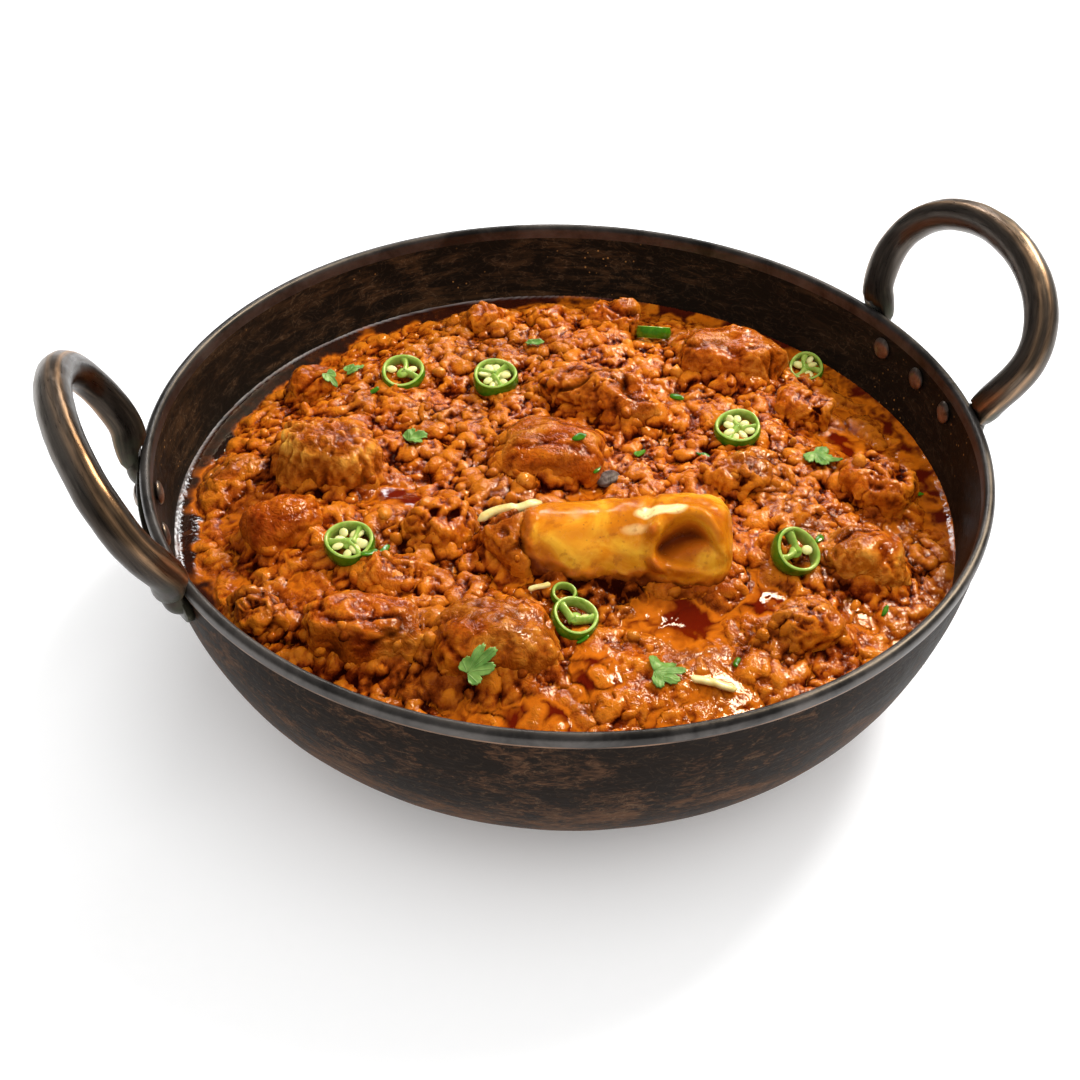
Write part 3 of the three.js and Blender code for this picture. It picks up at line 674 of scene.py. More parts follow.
print("a rod has", ROD_STEPS, "rings of", ROD_SIDES, "points")

# %% Strap and weld
STRAP_HEIGHT, STRAP_THICKNESS = 12.0, 2.2
STRAP_HALF_ANGLE = math.radians(16.8)
GAP = 0.3
WELD_RADIUS, WELD_SIDEWAYS, WELD_HEIGHT = 136.5, 32.5, 75


def strap_mesh():
    """The curved strap: a plate with rounded ends and a soft edge, following the wall."""
    steps = 72
    middle_z = float(wall_point(STRAP_TURN)[1])
    section = [(0.0, -1.0), (0.6, -1.0), (0.9, -0.965), (1.0, -0.9), (1.0, -0.3), (1.0, 0.3), (1.0, 0.9),
               (0.9, 0.965), (0.6, 1.0), (0.0, 1.0), (0.0, 0.4), (0.0, -0.4)]
    rings = []
    for i in range(steps + 1):
        share = 2 * i / steps - 1
        share = math.copysign(1 - (1 - abs(share)) ** 1.5, share)
        half = STRAP_HEIGHT / 2 * math.sqrt(max(1 - abs(share) ** 8, 0.02))
        angle = share * STRAP_HALF_ANGLE
        ring = []
        for lift, way in section:
            z = middle_z + way * half
            r = float(wall_radius(z)) + GAP + lift * STRAP_THICKNESS
            ring.append((r * math.cos(angle), r * math.sin(angle), z))
        rings.append(ring)
    return rings_mesh(rings)


def weld_blob(way):
    """The rod's flattened foot, spread over the strap."""
    across = np.linspace(0, np.pi, 20)[1:-1]
    turn = np.linspace(0, 2 * np.pi, 28, endpoint=False)
    rings = [
        np.stack([
            WELD_RADIUS + 5.4 * math.sin(a) * np.cos(turn),
            WELD_SIDEWAYS * way + 6.0 * math.sin(a) * np.sin(turn),
            np.full(28, WELD_HEIGHT + 6.5 * math.cos(a)),
        ], 1)
        for a in across
    ]
    return rings_mesh(rings)


print("faces of a strap:", len(strap_mesh()[1]), "and of a weld:", len(weld_blob(1)[1]))

# %% Keep a handle off the pan
def pan_limit(z):
    """How near the axis a handle may come at a height, so that it stays off the pan."""
    below = wall_radius(np.minimum(z, 77.4)) + GAP + STRAP_THICKNESS / 2
    ease = smoothstep(z, 82, 90)
    return np.where(z < 77.4, below, (RIM_RADIUS + 0.6) * (1 - ease) + 128 * ease)


def off_the_pan(p):
    """Points moved away from the axis until none is nearer than the limit."""
    reach = np.hypot(p[:, 0], p[:, 1])
    outwards = np.maximum(reach, pan_limit(p[:, 2])) / reach
    return p * np.stack([outwards, outwards, np.ones(len(p))], 1)


print("nearest that a strap comes to the axis in mm:", round(float(pan_limit(75.0)), 1))

# %% Shape a handle's rod
LOOP_TOP = 131.9
SEAMS, SEAM_WIDTH = (-2.2, -2.8, 0.9), 0.15
END_STEPS = 5


def ways_out(p, path):
    """For each point of a rod: nearest step, way out, distance from the path, and angle round it."""
    nearest = np.argmin(((p[:, None, :] - path[None, :, :]) ** 2).sum(2), 1)
    tangent = np.gradient(path, axis=0)
    tangent /= np.linalg.norm(tangent, axis=1)[:, None]
    radial = p - path[nearest]
    radial -= (radial * tangent[nearest]).sum(1)[:, None] * tangent[nearest]
    length = np.linalg.norm(radial, axis=1) + 1e-9
    radial /= length[:, None]
    plane_out = np.array([math.sin(LOOP_TILT), 0, -math.cos(LOOP_TILT)])
    loop_out = np.cross(tangent[nearest], plane_out)
    around = np.arctan2((radial * plane_out).sum(1), (radial * loop_out).sum(1))
    return nearest, radial, length, around


def shaped_rod(name, way):
    """The loop with its rolled seams, small dents and rounded ends, and where it is worn or painted bright.
    """
    path = loop_path(np.linspace(0, 1, ROD_STEPS))
    rod = swept_rod(f"loop_{name}", path, ROD_RADIUS, ROD_SIDES, ROD_IRON)
    p = points_of(rod)
    nearest, radial, length, around = ways_out(p, path)
    away = [np.abs(np.mod(around - seam + np.pi, 2 * np.pi) - np.pi) for seam in SEAMS]
    ridge = np.exp(-((np.min(away, axis=0) / SEAM_WIDTH) ** 2))
    wobble = 0.16 * noise_at(p, 9, 41) + 0.1 * noise_at(p, 4, 42)
    from_end = np.minimum(nearest, ROD_STEPS - 1 - nearest) / END_STEPS
    rounding = 1 - np.sqrt(1 - (1 - np.clip(from_end, 0, 1)) ** 2 * 0.99)
    p += radial * (0.22 * ridge + wobble - 0.1 - 0.7 * length * rounding)[:, None]
    p = off_the_pan(p)
    p[:, 2] = np.minimum(p[:, 2], LOOP_TOP)
    move_points(rod, p)
    set_attribute(rod, "around", around)
    set_attribute(rod, "seam", np.clip(ridge, 0, 1))
    # Wear and painted highlight: paler up and out, less on the left handle, more on the right's outer side.
    up_facing = np.clip(radial[:, 2] * 0.75 + radial[:, 0] * 0.55, 0, 1)
    worn = smoothstep(up_facing, 0.55, 1.0) * (1.0 if way > 0 else 0.7)
    if way > 0:
        rubbed_side = smoothstep(0.95 * radial[:, 0] + 0.25 * radial[:, 1], 0.7, 1.0)
        worn = np.maximum(worn, 0.16 + 0.5 * rubbed_side)
    set_attribute(rod, "worn", worn * smoothstep(p[:, 2], 84, 100))
    set_attribute(rod, "foot", 1 - smoothstep(p[:, 2], 78, 96))
    return rod


print("handle top in mm:", LOOP_TOP)

# %% Make the handles
def make_handle(name, way):
    rod = shaped_rod(name, way)
    parts = [rod]
    for label, (points, faces) in (("strap", strap_mesh()), ("back", weld_blob(1)), ("front", weld_blob(-1))):
        part = mesh_object(f"{label}_{name}", points, faces, ROD_IRON)
        if label != "strap":
            move_points(part, off_the_pan(points_of(part)))
        count = len(part.data.vertices)
        for attribute, value in (("around", 0), ("seam", 0), ("worn", 0), ("foot", 0.8)):
            set_attribute(part, attribute, [value] * count)
        parts.append(outward(part))
    with bpy.context.temp_override(active_object=rod, selected_editable_objects=parts):
        bpy.ops.object.join()
    if way < 0:
        move_points(rod, points_of(rod) * (-1, -1, 1))
    rod.name = f"handle_{name}_iron"
    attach(rod, "root")
    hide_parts(f"handle_{name}")
    return rod


for handle_name, handle_way in (("left", -1), ("right", 1)):
    handle = make_handle(handle_name, handle_way)
    print(handle.name, len(handle.data.polygons), "faces")

# %% [markdown]
# ## Rivets
# Three rivets hold each strap. All six are the same turned shape, so Geometry Nodes place copies of
# one rivet on six points. Each point carries the turn and size of its rivet. The copies are realized,
# because an export drops instances.

# %% Rivet finish
def hammered_steel_finish():
    steel = Finish("hammered_rivet_steel", Metallic=0.85, Roughness=0.38)
    dull = steel.noise(300, 4, 0.6, 0.5)
    steel.link(steel.ramp(dull, (0.3, (0.11, 0.085, 0.07)), (0.65, (0.34, 0.28, 0.235))), "Base Color")
    steel.link(steel.bump(dull, 0.35, 0.0003), "Normal")
    return steel.material


RIVET_STEEL = hammered_steel_finish()
print("rivet finish nodes:", len(RIVET_STEEL.node_tree.nodes))

# %% Rivet shape
RIVET_SPACING = math.radians(9.2)


def rivet_shape():
    head, shank, rise = 4.0, 2.1, 1.5
    inner = -WALL - 0.43 - GAP - 0.2
    outer = STRAP_THICKNESS + 2 * GAP + 0.1
    dome = [(head * math.cos(a), rise * math.sin(a)) for a in np.linspace(0, np.pi / 2, 9)[:-1]]
    profile = [(r, inner - h) for r, h in dome[::-1]]
    inner_edge, outer_edge = inner + 0.25, outer - 0.25
    profile += [(head * 0.97, inner_edge), (shank, inner_edge)]
    profile += [(shank, outer_edge), (head * 0.97, outer_edge)]
    profile += [(r, outer + h) for r, h in dome]
    turn = np.linspace(0, 2 * np.pi, 28, endpoint=False)
    rings = [np.stack([r * np.cos(turn), r * np.sin(turn), np.full(28, z)], 1) for r, z in profile]
    points, faces = rings_mesh(rings)
    points = points + 0.12 * np.stack([noise_at(points, 2.5, s) for s in (51, 52, 53)], 1)
    return outward(mesh_object("rivet_pattern", points, faces, RIVET_STEEL))


print("space between rivets in mm:", round(RIM_RADIUS * RIVET_SPACING, 1))


# %% Geometry Nodes: copies on turned points
def copies_tree(name):
    """Points with a "turn" and a "size" in, one copy of an object on each."""
    tree = bpy.data.node_groups.new(name, "GeometryNodeTree")
    tree.interface.new_socket("Geometry", in_out="OUTPUT", socket_type="NodeSocketGeometry")
    socket(tree, "Places", "NodeSocketGeometry")
    names = {"Pattern": socket(tree, "Pattern", "NodeSocketObject")}
    names["Finish"] = socket(tree, "Finish", "NodeSocketMaterial")
    n, link = tree.nodes, tree.links.new
    given, out = n.new("NodeGroupInput"), n.new("NodeGroupOutput")
    pattern, turn = n.new("GeometryNodeObjectInfo"), n.new("GeometryNodeInputNamedAttribute")
    size = n.new("GeometryNodeInputNamedAttribute")
    turn.data_type, size.data_type = "FLOAT_VECTOR", "FLOAT_VECTOR"
    turn.inputs["Name"].default_value, size.inputs["Name"].default_value = "turn", "size"
    copy, real = n.new("GeometryNodeInstanceOnPoints"), n.new("GeometryNodeRealizeInstances")
    finish = n.new("GeometryNodeSetMaterial")
    link(given.outputs["Places"], copy.inputs["Points"])
    link(given.outputs["Pattern"], pattern.inputs["Object"])
    link(pattern.outputs["Geometry"], copy.inputs["Instance"])
    link(turn.outputs["Attribute"], copy.inputs["Rotation"])
    link(size.outputs["Attribute"], copy.inputs["Scale"])
    link(copy.outputs["Instances"], real.inputs["Geometry"])
    link(real.outputs["Geometry"], finish.inputs["Geometry"])
    link(given.outputs["Finish"], finish.inputs["Material"])
    link(finish.outputs["Geometry"], out.inputs["Geometry"])
    return tree, names


COPIES_TREE, COPIES_INPUTS = copies_tree("copies_on_points")
print("copies tree inputs:", ", ".join(COPIES_INPUTS))

# %% Set copies on points
def copies_of(pattern, name, places_mm, turns, sizes, material):
    """Copies of a pattern object at places, each with its own turn and size, as a plain mesh."""
    mesh = bpy.data.meshes.new(name)
    mesh.from_pydata((np.asarray(places_mm) * MM).tolist(), [], [])
    for label, values in (("turn", turns), ("size", sizes)):
        layer = mesh.attributes.new(label, "FLOAT_VECTOR", "POINT")
        layer.data.foreach_set("vector", np.asarray(values, np.float32).ravel())
    made = bpy.data.objects.new(name, mesh)
    bpy.context.scene.collection.objects.link(made)
    modifier = made.modifiers.new("copies", "NODES")
    modifier.node_group = COPIES_TREE
    modifier[COPIES_INPUTS["Pattern"]] = pattern
    modifier[COPIES_INPUTS["Finish"]] = material
    freeze(made, material)
    bpy.data.objects.remove(pattern)
    return made


print("nodes in the copies tree:", len(COPIES_TREE.nodes))


# %% Set the rivets
rivet_r, rivet_z, rivet_nr, rivet_nz = (float(v) for v in wall_point(STRAP_TURN))
rivet_places, rivet_turns = [], []
for rivet_way in (0, math.pi):
    for step in (-1, 0, 1):
        angle = rivet_way + step * RIVET_SPACING
        rivet_places.append((rivet_r * math.cos(angle), rivet_r * math.sin(angle), rivet_z))
        rivet_turns.append((0, math.pi / 2 - math.atan2(rivet_nz, rivet_nr), angle))
rivets = copies_of(rivet_shape(), "rivets", rivet_places, rivet_turns, [(1, 1, 1)] * 6, RIVET_STEEL)
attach(rivets, "root")
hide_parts(*[f"rivet_{s}_{i}" for s in ("left", "right") for i in (1, 2, 3)])
print("rivets:", len(rivet_places), "faces:", len(rivets.data.polygons))

# %% [markdown]
# ## The finish of the curry
# Fried masala is orange-brown on its clots and red where clear oil stands on it; its creases get
# painted shade. The mesh knows where that is: each point carries "height" (how high it is on its
# clot, used as painted shade in creases and painted light on crests), "oil" (how deep the oil is over
# it), "tone" (meat and fat under the sauce) and "bare" (smooth glazed meat). "film" marks the dark
# oil, and the pale line where the oil meets the wall is a painted highlight, both mostly along the
# wall's back left.

# %% Curry finish
def curry_finish():
    curry = Finish("oily_masala", Subsurface_Weight=0.08, Subsurface_Scale=0.001, Specular_IOR_Level=0.34,
                   Subsurface_Radius=(1.0, 0.35, 0.12))
    height, oil, tone, bare = (curry.attribute(name) for name in ("height", "oil", "tone", "bare"))
    mottle = curry.noise(170, 4, 0.6, 0.4)
    flecks = curry.noise(520, 3, 0.65, 0.6)
    level = curry.math("ADD", height, curry.math("MULTIPLY", curry.math("SUBTRACT", mottle, 0.48), 0.5))
    level = curry.math("ADD", level, curry.math("MULTIPLY", curry.math("SUBTRACT", flecks, 0.48), 0.45))
    # Painted shade: the ramps go dark at a low level, in creases, and light at a high one, on crests.
    masala = curry.ramp(
        level, (0.24, (0.018, 0.0011, 0.0003)), (0.46, (0.14, 0.015, 0.0007)), (0.68, (0.4, 0.073, 0.0025)),
        (1.0, (0.64, 0.175, 0.008)),
    )
    browner = curry.ramp(
        level, (0.22, (0.018, 0.002, 0.0004)), (0.57, (0.18, 0.034, 0.002)), (1.0, (0.46, 0.125, 0.007))
    )
    masala = curry.mix(curry.ramp(curry.noise(28, 3), (0.45, 0.0), (0.6, 0.75)), masala, browner)
    # Pale fat; on pale meat it also carries the painted highlight along upper edges.
    fat = curry.ramp(
        level, (0.1, (0.17, 0.03, 0.002)), (0.6, (0.46, 0.12, 0.006)), (1.0, (0.86, 0.42, 0.06))
    )
    red = curry.ramp(
        level, (0.1, (0.06, 0.004, 0.001)), (0.5, (0.27, 0.035, 0.002)), (1.0, (0.5, 0.1, 0.006))
    )
    body = curry.mix(curry.ramp(tone, (0.5, 0.0), (1.0, 1.0)), masala, fat)
    body = curry.mix(curry.ramp(tone, (0.0, 1.0), (0.5, 0.0)), body, red)
    spice = curry.ramp(curry.cells(620), (0.1, 1.0), (0.2, 0.0))
    spice = curry.math("MULTIPLY", spice, curry.ramp(mottle, (0.5, 0.0), (0.6, 0.55)))
    body = curry.mix(spice, body, (0.05, 0.012, 0.002))
    shallow, deep = (0.6, 0.14, 0.005), (0.13, 0.007, 0.0005)
    pool = curry.mix(curry.ramp(oil, (0.3, 0.0), (1.0, 1.0)), shallow, deep)
    pool = curry.mix(curry.attribute("film"), pool, (0.012, 0.006, 0.0035))
    # Painted highlight: a pale grey line where the oil meets the wall.
    pool = curry.mix(curry.attribute("shoreline"), pool, (0.42, 0.39, 0.37))
    wet = curry.ramp(oil, (0.0, 0.0), (0.2, 0.8), (1.0, 0.94))
    curry.link(curry.mix(wet, body, pool), "Base Color")
    dry_rough = curry.mix(bare, curry.ramp(flecks, (0.35, 0.04), (0.65, 0.13)), (0.09, 0.09, 0.09))
    curry.link(curry.mix(wet, dry_rough, (0.05, 0.05, 0.05)), "Roughness")
    glints = curry.mix(wet, curry.ramp(level, (0.34, 0.02), (0.62, 0.5)), (0.45, 0.45, 0.45))
    curry.link(glints, "Specular IOR Level")
    dry = curry.math("SUBTRACT", 1.0, curry.math("MULTIPLY", wet, 0.9))
    clotted = curry.math("MULTIPLY", dry, curry.math("SUBTRACT", 1.0, curry.math("MULTIPLY", bare, 0.7)))
    normal = curry.bump(curry.noise(330, 2, 0.5, 1.6), curry.math("MULTIPLY", clotted, 0.45), 0.0013)
    normal = curry.bump(curry.noise(900, 2, 0.6, 0.5), curry.math("MULTIPLY", clotted, 0.25), 0.0005, normal)
    normal = curry.bump(curry.noise(280, 2, 0.5, 2.2), curry.math("MULTIPLY", bare, 0.55), 0.0015, normal)
    curry.link(normal, "Normal")
    return curry.material


CURRY = curry_finish()
print("curry finish nodes:", len(CURRY.node_tree.nodes))

# %% [markdown]
# ## Gravy
# The gravy is a dense grid of points in a circle that reaches just into the wall, so no gap shows.
# Its height is the CAD's gravy plus clots. A second, smooth surface is the oil: wherever it lies
# higher than the clots, oil shows, which is how pools form by themselves in the hollows.

# %% CAD gravy height
HEAP_RISE, HEAP_FOOT_RADIUS, HEAP_TOP_RADIUS = 7.5, 126.0, 88.0
POOLS = [
    (6, -80, 20, 3.2), (-106, 22, 13, 1.5), (-92, -18, 16, 1.8), (104, 0, 20, 1.5), (8, -6, 8, 2.5),
    (-60, -104, 22, 1.2),
]


def gravy_top(x, y):
    r = np.hypot(x, y)
    heap = 1 - smoothstep(r, HEAP_TOP_RADIUS, HEAP_FOOT_RADIUS)
    flat = np.full_like(x, 0.5)
    lumps = 2.4 * noise_at(np.stack([x / 21, y / 21, flat], 1), 1, 3)
    lumps += 1.5 * noise_at(np.stack([x / 11, y / 11, flat], 1), 1, 7)
    z = GRAVY_LEVEL + HEAP_RISE * heap + lumps * (0.25 + 0.75 * heap)
    for px, py, radius, depth in POOLS:
        z -= depth * np.exp(-((x - px) ** 2 + (y - py) ** 2) / radius**2)
    shore = smoothstep(r, HEAP_FOOT_RADIUS - 4, HEAP_FOOT_RADIUS + 5)
    return z + (GRAVY_LEVEL - z) * shore


print("gravy height in the middle in mm:", gravy_top(np.zeros(1), np.zeros(1)).round(1))


# %% Where the curry is wet
WET_PLACES = [
    # x, y, radius, strength: oily hollows and the smoother sauce near the front and the sides
    (10, -76, 12, 0.75), (36, -76, 9, 0.4), (-18, -84, 9, 0.35), (-62, -106, 24, 0.45), (0, -112, 32, 0.5),
    (-112, 18, 10, 0.6), (-104, 30, 8, 0.6), (-98, -22, 10, 0.7), (-118, -8, 11, 0.5), (-62, 14, 8, 0.7),
    (108, -4, 16, 0.6), (116, 20, 12, 0.5), (96, -52, 12, 0.5), (8, -6, 9, 0.7), (70, -100, 24, 0.45),
    (114, -52, 14, 0.5), (-40, -94, 10, 0.3), (118, -30, 14, 0.45), (-30, -40, 8, 0.5), (60, 84, 9, 0.3),
    (14, -60, 10, 0.75), (-55, 6, 8, 0.7), (-84, -44, 9, 0.7), (22, 30, 7, 0.7), (50, 42, 7, 0.6),
    (40, -66, 7, 0.4),
]


def wetness(x, y):
    dry = np.ones_like(x)
    for px, py, radius, strength in WET_PLACES:
        dry *= 1 - strength * np.exp(-((x - px) ** 2 + (y - py) ** 2) / radius**2)
    return 1 - dry


print("wet places:", len(WET_PLACES))


# %% Height of the pieces that stand in the gravy
MEAT_NODES = sorted(n for n in cad if n.startswith(("mutton", "bone_meat")))
FOOD_NODES = MEAT_NODES + ["marrow_bone"]


def tree_of(names):
    """A search tree over CAD nodes, for casting rays down on them (metres)."""
    points, faces = [], []
    for name in names:
        mesh = cad[name].data
        start = len(points)
        points += [v.co.copy() for v in mesh.vertices]
        faces += [[start + i for i in face.vertices] for face in mesh.polygons]
    return BVHTree.FromPolygons(points, faces)


DOWN = Vector((0, 0, -1))
standing_tree = tree_of(FOOD_NODES)
all_food_tree = tree_of(FOOD_NODES + ["gravy"])


def height_on(tree, x, y, otherwise=0.0):
    hit = tree.ray_cast(Vector((x * MM, y * MM, 0.2)), DOWN)[0]
    return hit.z / MM if hit else otherwise


def blurred(grid, sigma):
    """A Gaussian blur of a grid, along one axis and then the other."""
    reach = int(3 * sigma)
    kernel = np.exp(-np.arange(-reach, reach + 1) ** 2 / (2 * sigma**2))
    kernel /= kernel.sum()
    for axis in (0, 1):
        padded = np.pad(grid, [(reach, reach) if a == axis else (0, 0) for a in (0, 1)], mode="edge")
        line = np.arange(grid.shape[axis])
        grid = sum(k * np.take(padded, line + i, axis) for i, k in enumerate(kernel))
    return grid


print("pieces that stand in the gravy:", len(FOOD_NODES))


# %% Solid masala and oil
GRID_STEP = 0.76
GRAVY_RADIUS = 133.9
CLUMP_RISE, CLOT_PUSH, GRAIN_PUSH = 2.2, 2.7, 0.95


def soft_max(a, b, softness):
    return (a + b + np.sqrt((a - b) ** 2 + softness**2)) / 2


def grid_normals(grid):
    """Upward normals of a grid of points."""
    normals = np.cross(np.gradient(grid, axis=0), np.gradient(grid, axis=1))
    return normals / np.linalg.norm(normals, axis=2, keepdims=True)


def masala_heap(at, base, piled, wet, shore):
    """The solid part of the curry: a grid of points, pushed out by clumps, clots and grains."""
    count = math.isqrt(len(at))
    clumps, clots, grains = levels_at(at)
    rough = 1 - 0.6 * wet
    patchy = 1.5 * noise_at(at, 13, 61)
    solid = base - 2.6 + CLUMP_RISE * clumps * rough + patchy + 0.62 * piled * (1 - 0.5 * wet) - 2.6 * shore
    heap = np.column_stack([at[:, :2], solid]).reshape(count, count, 3)
    for level, push in ((clots, CLOT_PUSH), (grains, GRAIN_PUSH)):
        share = (level * rough * (1 - 0.7 * shore)).reshape(count, count, 1)
        heap = heap + grid_normals(heap) * push * share
    return heap, patchy


def oil_surface(at, base, piled, wet, shore):
    """The smooth top of the oil. It is level along the wall."""
    ripple = 0.2 * noise_at(at, 9, 62)
    oil_top = base - 1.4 + 2.6 * wet + 0.16 * piled + ripple * (1 - shore)
    around_wall = smoothstep(np.hypot(at[:, 0], at[:, 1]), 122, 129)
    return oil_top * (1 - around_wall) + (GRAVY_LEVEL - 0.5) * around_wall


print("clots on the gravy are pushed out by up to", CLOT_PUSH, "mm")

# %% A closed sheet from a grid
def squares_of(inside):
    """The squares of a grid whose corners all lie inside, and the grid points that they use."""
    index = np.arange(inside.size).reshape(inside.shape)
    whole = inside[:-1, :-1] & inside[1:, :-1] & inside[:-1, 1:] & inside[1:, 1:]
    quads = np.stack([index[:-1, :-1], index[1:, :-1], index[1:, 1:], index[:-1, 1:]], -1)[whole]
    used, compact = np.unique(quads, return_inverse=True)
    return compact.reshape(-1, 4), used


def closed_below(points, quads, radius, bottom):
    """Sets a sheet's border on a circle, and joins it to one point on the axis below."""
    edges = np.concatenate([quads[:, [i, (i + 1) % 4]] for i in range(4)])
    directed = {(a, b) for a, b in edges.tolist()}
    border = sorted((a, b) for a, b in directed if (b, a) not in directed)
    rim_points = np.unique([a for a, _ in border])
    reach = np.hypot(points[rim_points, 0], points[rim_points, 1])
    points[rim_points, :2] *= (radius / reach)[:, None]
    faces = quads.tolist() + [[b, a, len(points)] for a, b in border]
    return np.vstack([points, [0, 0, bottom]]), faces


print("squares of a small grid:", len(squares_of(np.ones((4, 4), bool))[0]))

# %% Make the gravy
BONE_YAW = math.radians(-22)
BONE_SHADOW_AT, BONE_SHADOW_HALF = (4, -58), (34, 5)
DARK_SIDE = math.radians(140)
SHEET_BOTTOM = 8


def turned_back(x, y, yaw):
    """Distances along and across a direction that is turned by a yaw."""
    c, s = math.cos(yaw), math.sin(yaw)
    return x * c + y * s, y * c - x * s


def make_gravy():
    count = int(2 * GRAVY_RADIUS / GRID_STEP) + 2
    line = (np.arange(count) - (count - 1) / 2) * GRID_STEP
    flat_x, flat_y = (g.ravel() for g in np.meshgrid(line, line, indexing="ij"))
    r = np.hypot(flat_x, flat_y)
    base = gravy_top(flat_x, flat_y)
    columns = zip(flat_x, flat_y, r)
    standing = np.array([height_on(standing_tree, a, b) if c < GRAVY_RADIUS else 0 for a, b, c in columns])
    piled = blurred(np.clip(standing - base, 0, 9).reshape(count, count), 3.2 / GRID_STEP).ravel()
    wet = wetness(flat_x, flat_y)
    at = np.stack([flat_x, flat_y, base * 0.7], 1)
    dark_side = 0.5 + 0.5 * np.cos(np.arctan2(flat_y, flat_x) - DARK_SIDE)
    shore = smoothstep(r, 120, 130) * (0.3 + 0.7 * dark_side)
    heap, patchy = masala_heap(at, base, piled, wet, shore)
    x, y, solid = heap.reshape(-1, 3).T
    oil_top = oil_surface(at, base, piled, wet, shore)
    at_wall = smoothstep(r, 130, 133)
    z = soft_max(solid, oil_top, 0.2)
    z = z * (1 - at_wall) + (GRAVY_LEVEL - 0.2) * at_wall + 0.7 * smoothstep(r, 131, 133.5)
    depth = np.clip((oil_top - solid + 0.1) / 1.8, 0, 1)
    drowned = smoothstep(depth, 0.0, 0.3) + smoothstep(r, 121, 129) > 1
    x, y = np.where(drowned, flat_x, x), np.where(drowned, flat_y, y)
    quads, used = squares_of((r <= GRAVY_RADIUS).reshape(count, count))
    sheet = closed_below(np.stack([x, y, z], 1)[used], quads, GRAVY_RADIUS, SHEET_BOTTOM)
    gravy = mesh_object("masala_gravy", *sheet, CURRY)
    # Painted shade: "height" goes dark in creases and in a painted shadow of the bone, light on crests.
    fine, coarse = (solid - blurred(heap[..., 2], size / GRID_STEP).ravel() for size in (1.2, 3.5))
    along, across = turned_back(flat_x - BONE_SHADOW_AT[0], flat_y - BONE_SHADOW_AT[1], BONE_YAW)
    shaded = np.exp(-(along / BONE_SHADOW_HALF[0]) ** 4 - (across / BONE_SHADOW_HALF[1]) ** 2)
    high = np.clip(crest_shade(fine, coarse) + 0.07 * patchy - 0.45 * shaded, 0, 1)
    film = smoothstep(r, 120, 126) * smoothstep(depth, 0.2, 0.9) * (0.25 + 0.75 * dark_side)
    uneven = 0.55 + 0.25 * noise_at(at, 6, 64)
    # Painted highlight along the wall where the oil meets it, mostly on the back left.
    shoreline = smoothstep(r, 131.9, 132.6) * smoothstep(dark_side, 0.5, 0.9) * uneven
    tone = np.clip(0.5 - 0.1 * wet + 0.12 * noise_at(at, 17, 63), 0, 0.5)
    for name, field in (("height", high), ("oil", depth), ("film", film), ("shoreline", shoreline)):
        set_attribute(gravy, name, np.append(field[used], 0))
    set_attribute(gravy, "tone", np.append(tone[used], 0.5))
    return gravy


gravy = make_gravy()
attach(gravy, "root")
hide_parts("gravy")
print("gravy faces:", len(gravy.data.polygons))

# %% [markdown]
# ## Pieces of mutton
# Each piece starts as a copy of its CAD solid, so it keeps its size and place. Voxel remeshing turns
# the copy into an even skin of small squares, smoothing takes the facets out, and then the points are
# pushed out by fibres of meat and by clots of masala. Some pieces are bare and glazed, others coated.

# %% How each piece is covered
# coat: share of clots; fibre: depth of the meat's grain in mm; tone: 0 red, 0.5 masala, 1 pale fat
COVER = {
    "mutton_large_left": (0.0, 1.4, 0.6), "mutton_round_left": (0.0, 0.4, 0.32),
    "mutton_front_left": (0.3, 0.6, 0.5), "mutton_front": (0.2, 0.6, 0.64), "mutton_middle": (0.05, 0.5, 0.6),
    "mutton_large_back": (0.25, 0.5, 0.5), "mutton_fat_right": (0.25, 0.5, 0.78),
    "bone_meat_left": (0.5, 0.5, 0.45), "bone_meat_front": (0.05, 0.6, 0.22),
    "mutton_ridge_back": (0.5, 0.5, 0.55),
}
PLAIN_COVER = (0.72, 0.5, 0.5)
GRAIN_DEGREES = {
    "mutton_large_left": 70, "mutton_front_left": -35, "mutton_front": 60, "mutton_middle": -30,
    "mutton_large_back": -30,
}
UPRIGHT_GRAIN = ("mutton_large_left", "mutton_front")
MEAT_NAMES = {
    node: node.replace("mutton", "meat").replace("bone_meat", "meat_on_bone") + "_coated"
    for node in MEAT_NODES
}
print("pieces with a cover of their own:", len(COVER), "of", len(MEAT_NODES))


# %% Skin and grain of a piece
SKIN_STEP = 0.62


def even_skin(node):
    """A copy of a CAD piece as an even skin of small squares, without facets."""
    piece = merged_copy(node, MEAT_NAMES[node])
    remesh = piece.modifiers.new("even skin", "REMESH")
    remesh.mode = "VOXEL"
    remesh.voxel_size = SKIN_STEP * MM
    relax = piece.modifiers.new("no facets", "SMOOTH")
    relax.factor, relax.iterations = 0.5, 16
    return freeze(piece, CURRY)


def meat_grain(node, seed, p):
    """Fibres of meat: noise drawn out along the piece, or upwards where its cut shows fibres on end."""
    yaw = math.radians(GRAIN_DEGREES[node]) if node in GRAIN_DEGREES else seed * 1.3
    along, across = turned_back(p[:, 0], p[:, 1], yaw)
    upright = node in UPRIGHT_GRAIN
    strand = np.stack([along / (2.4 if upright else 8), across / 2.4, p[:, 2] / (8 if upright else 2.8)], 1)
    return noise_at(strand, 1, seed + 70) + 0.5 * noise_at(strand * 2.1, 1, seed + 71)


print("squares on the meat are", SKIN_STEP, "mm wide")

# %% Make the mutton
CLEFT_DEPTH, SINK_DEPTH = 1.3, 2.6
MEAT_CLOT_PUSH, MEAT_GRAIN_PUSH = 2.4, 0.9


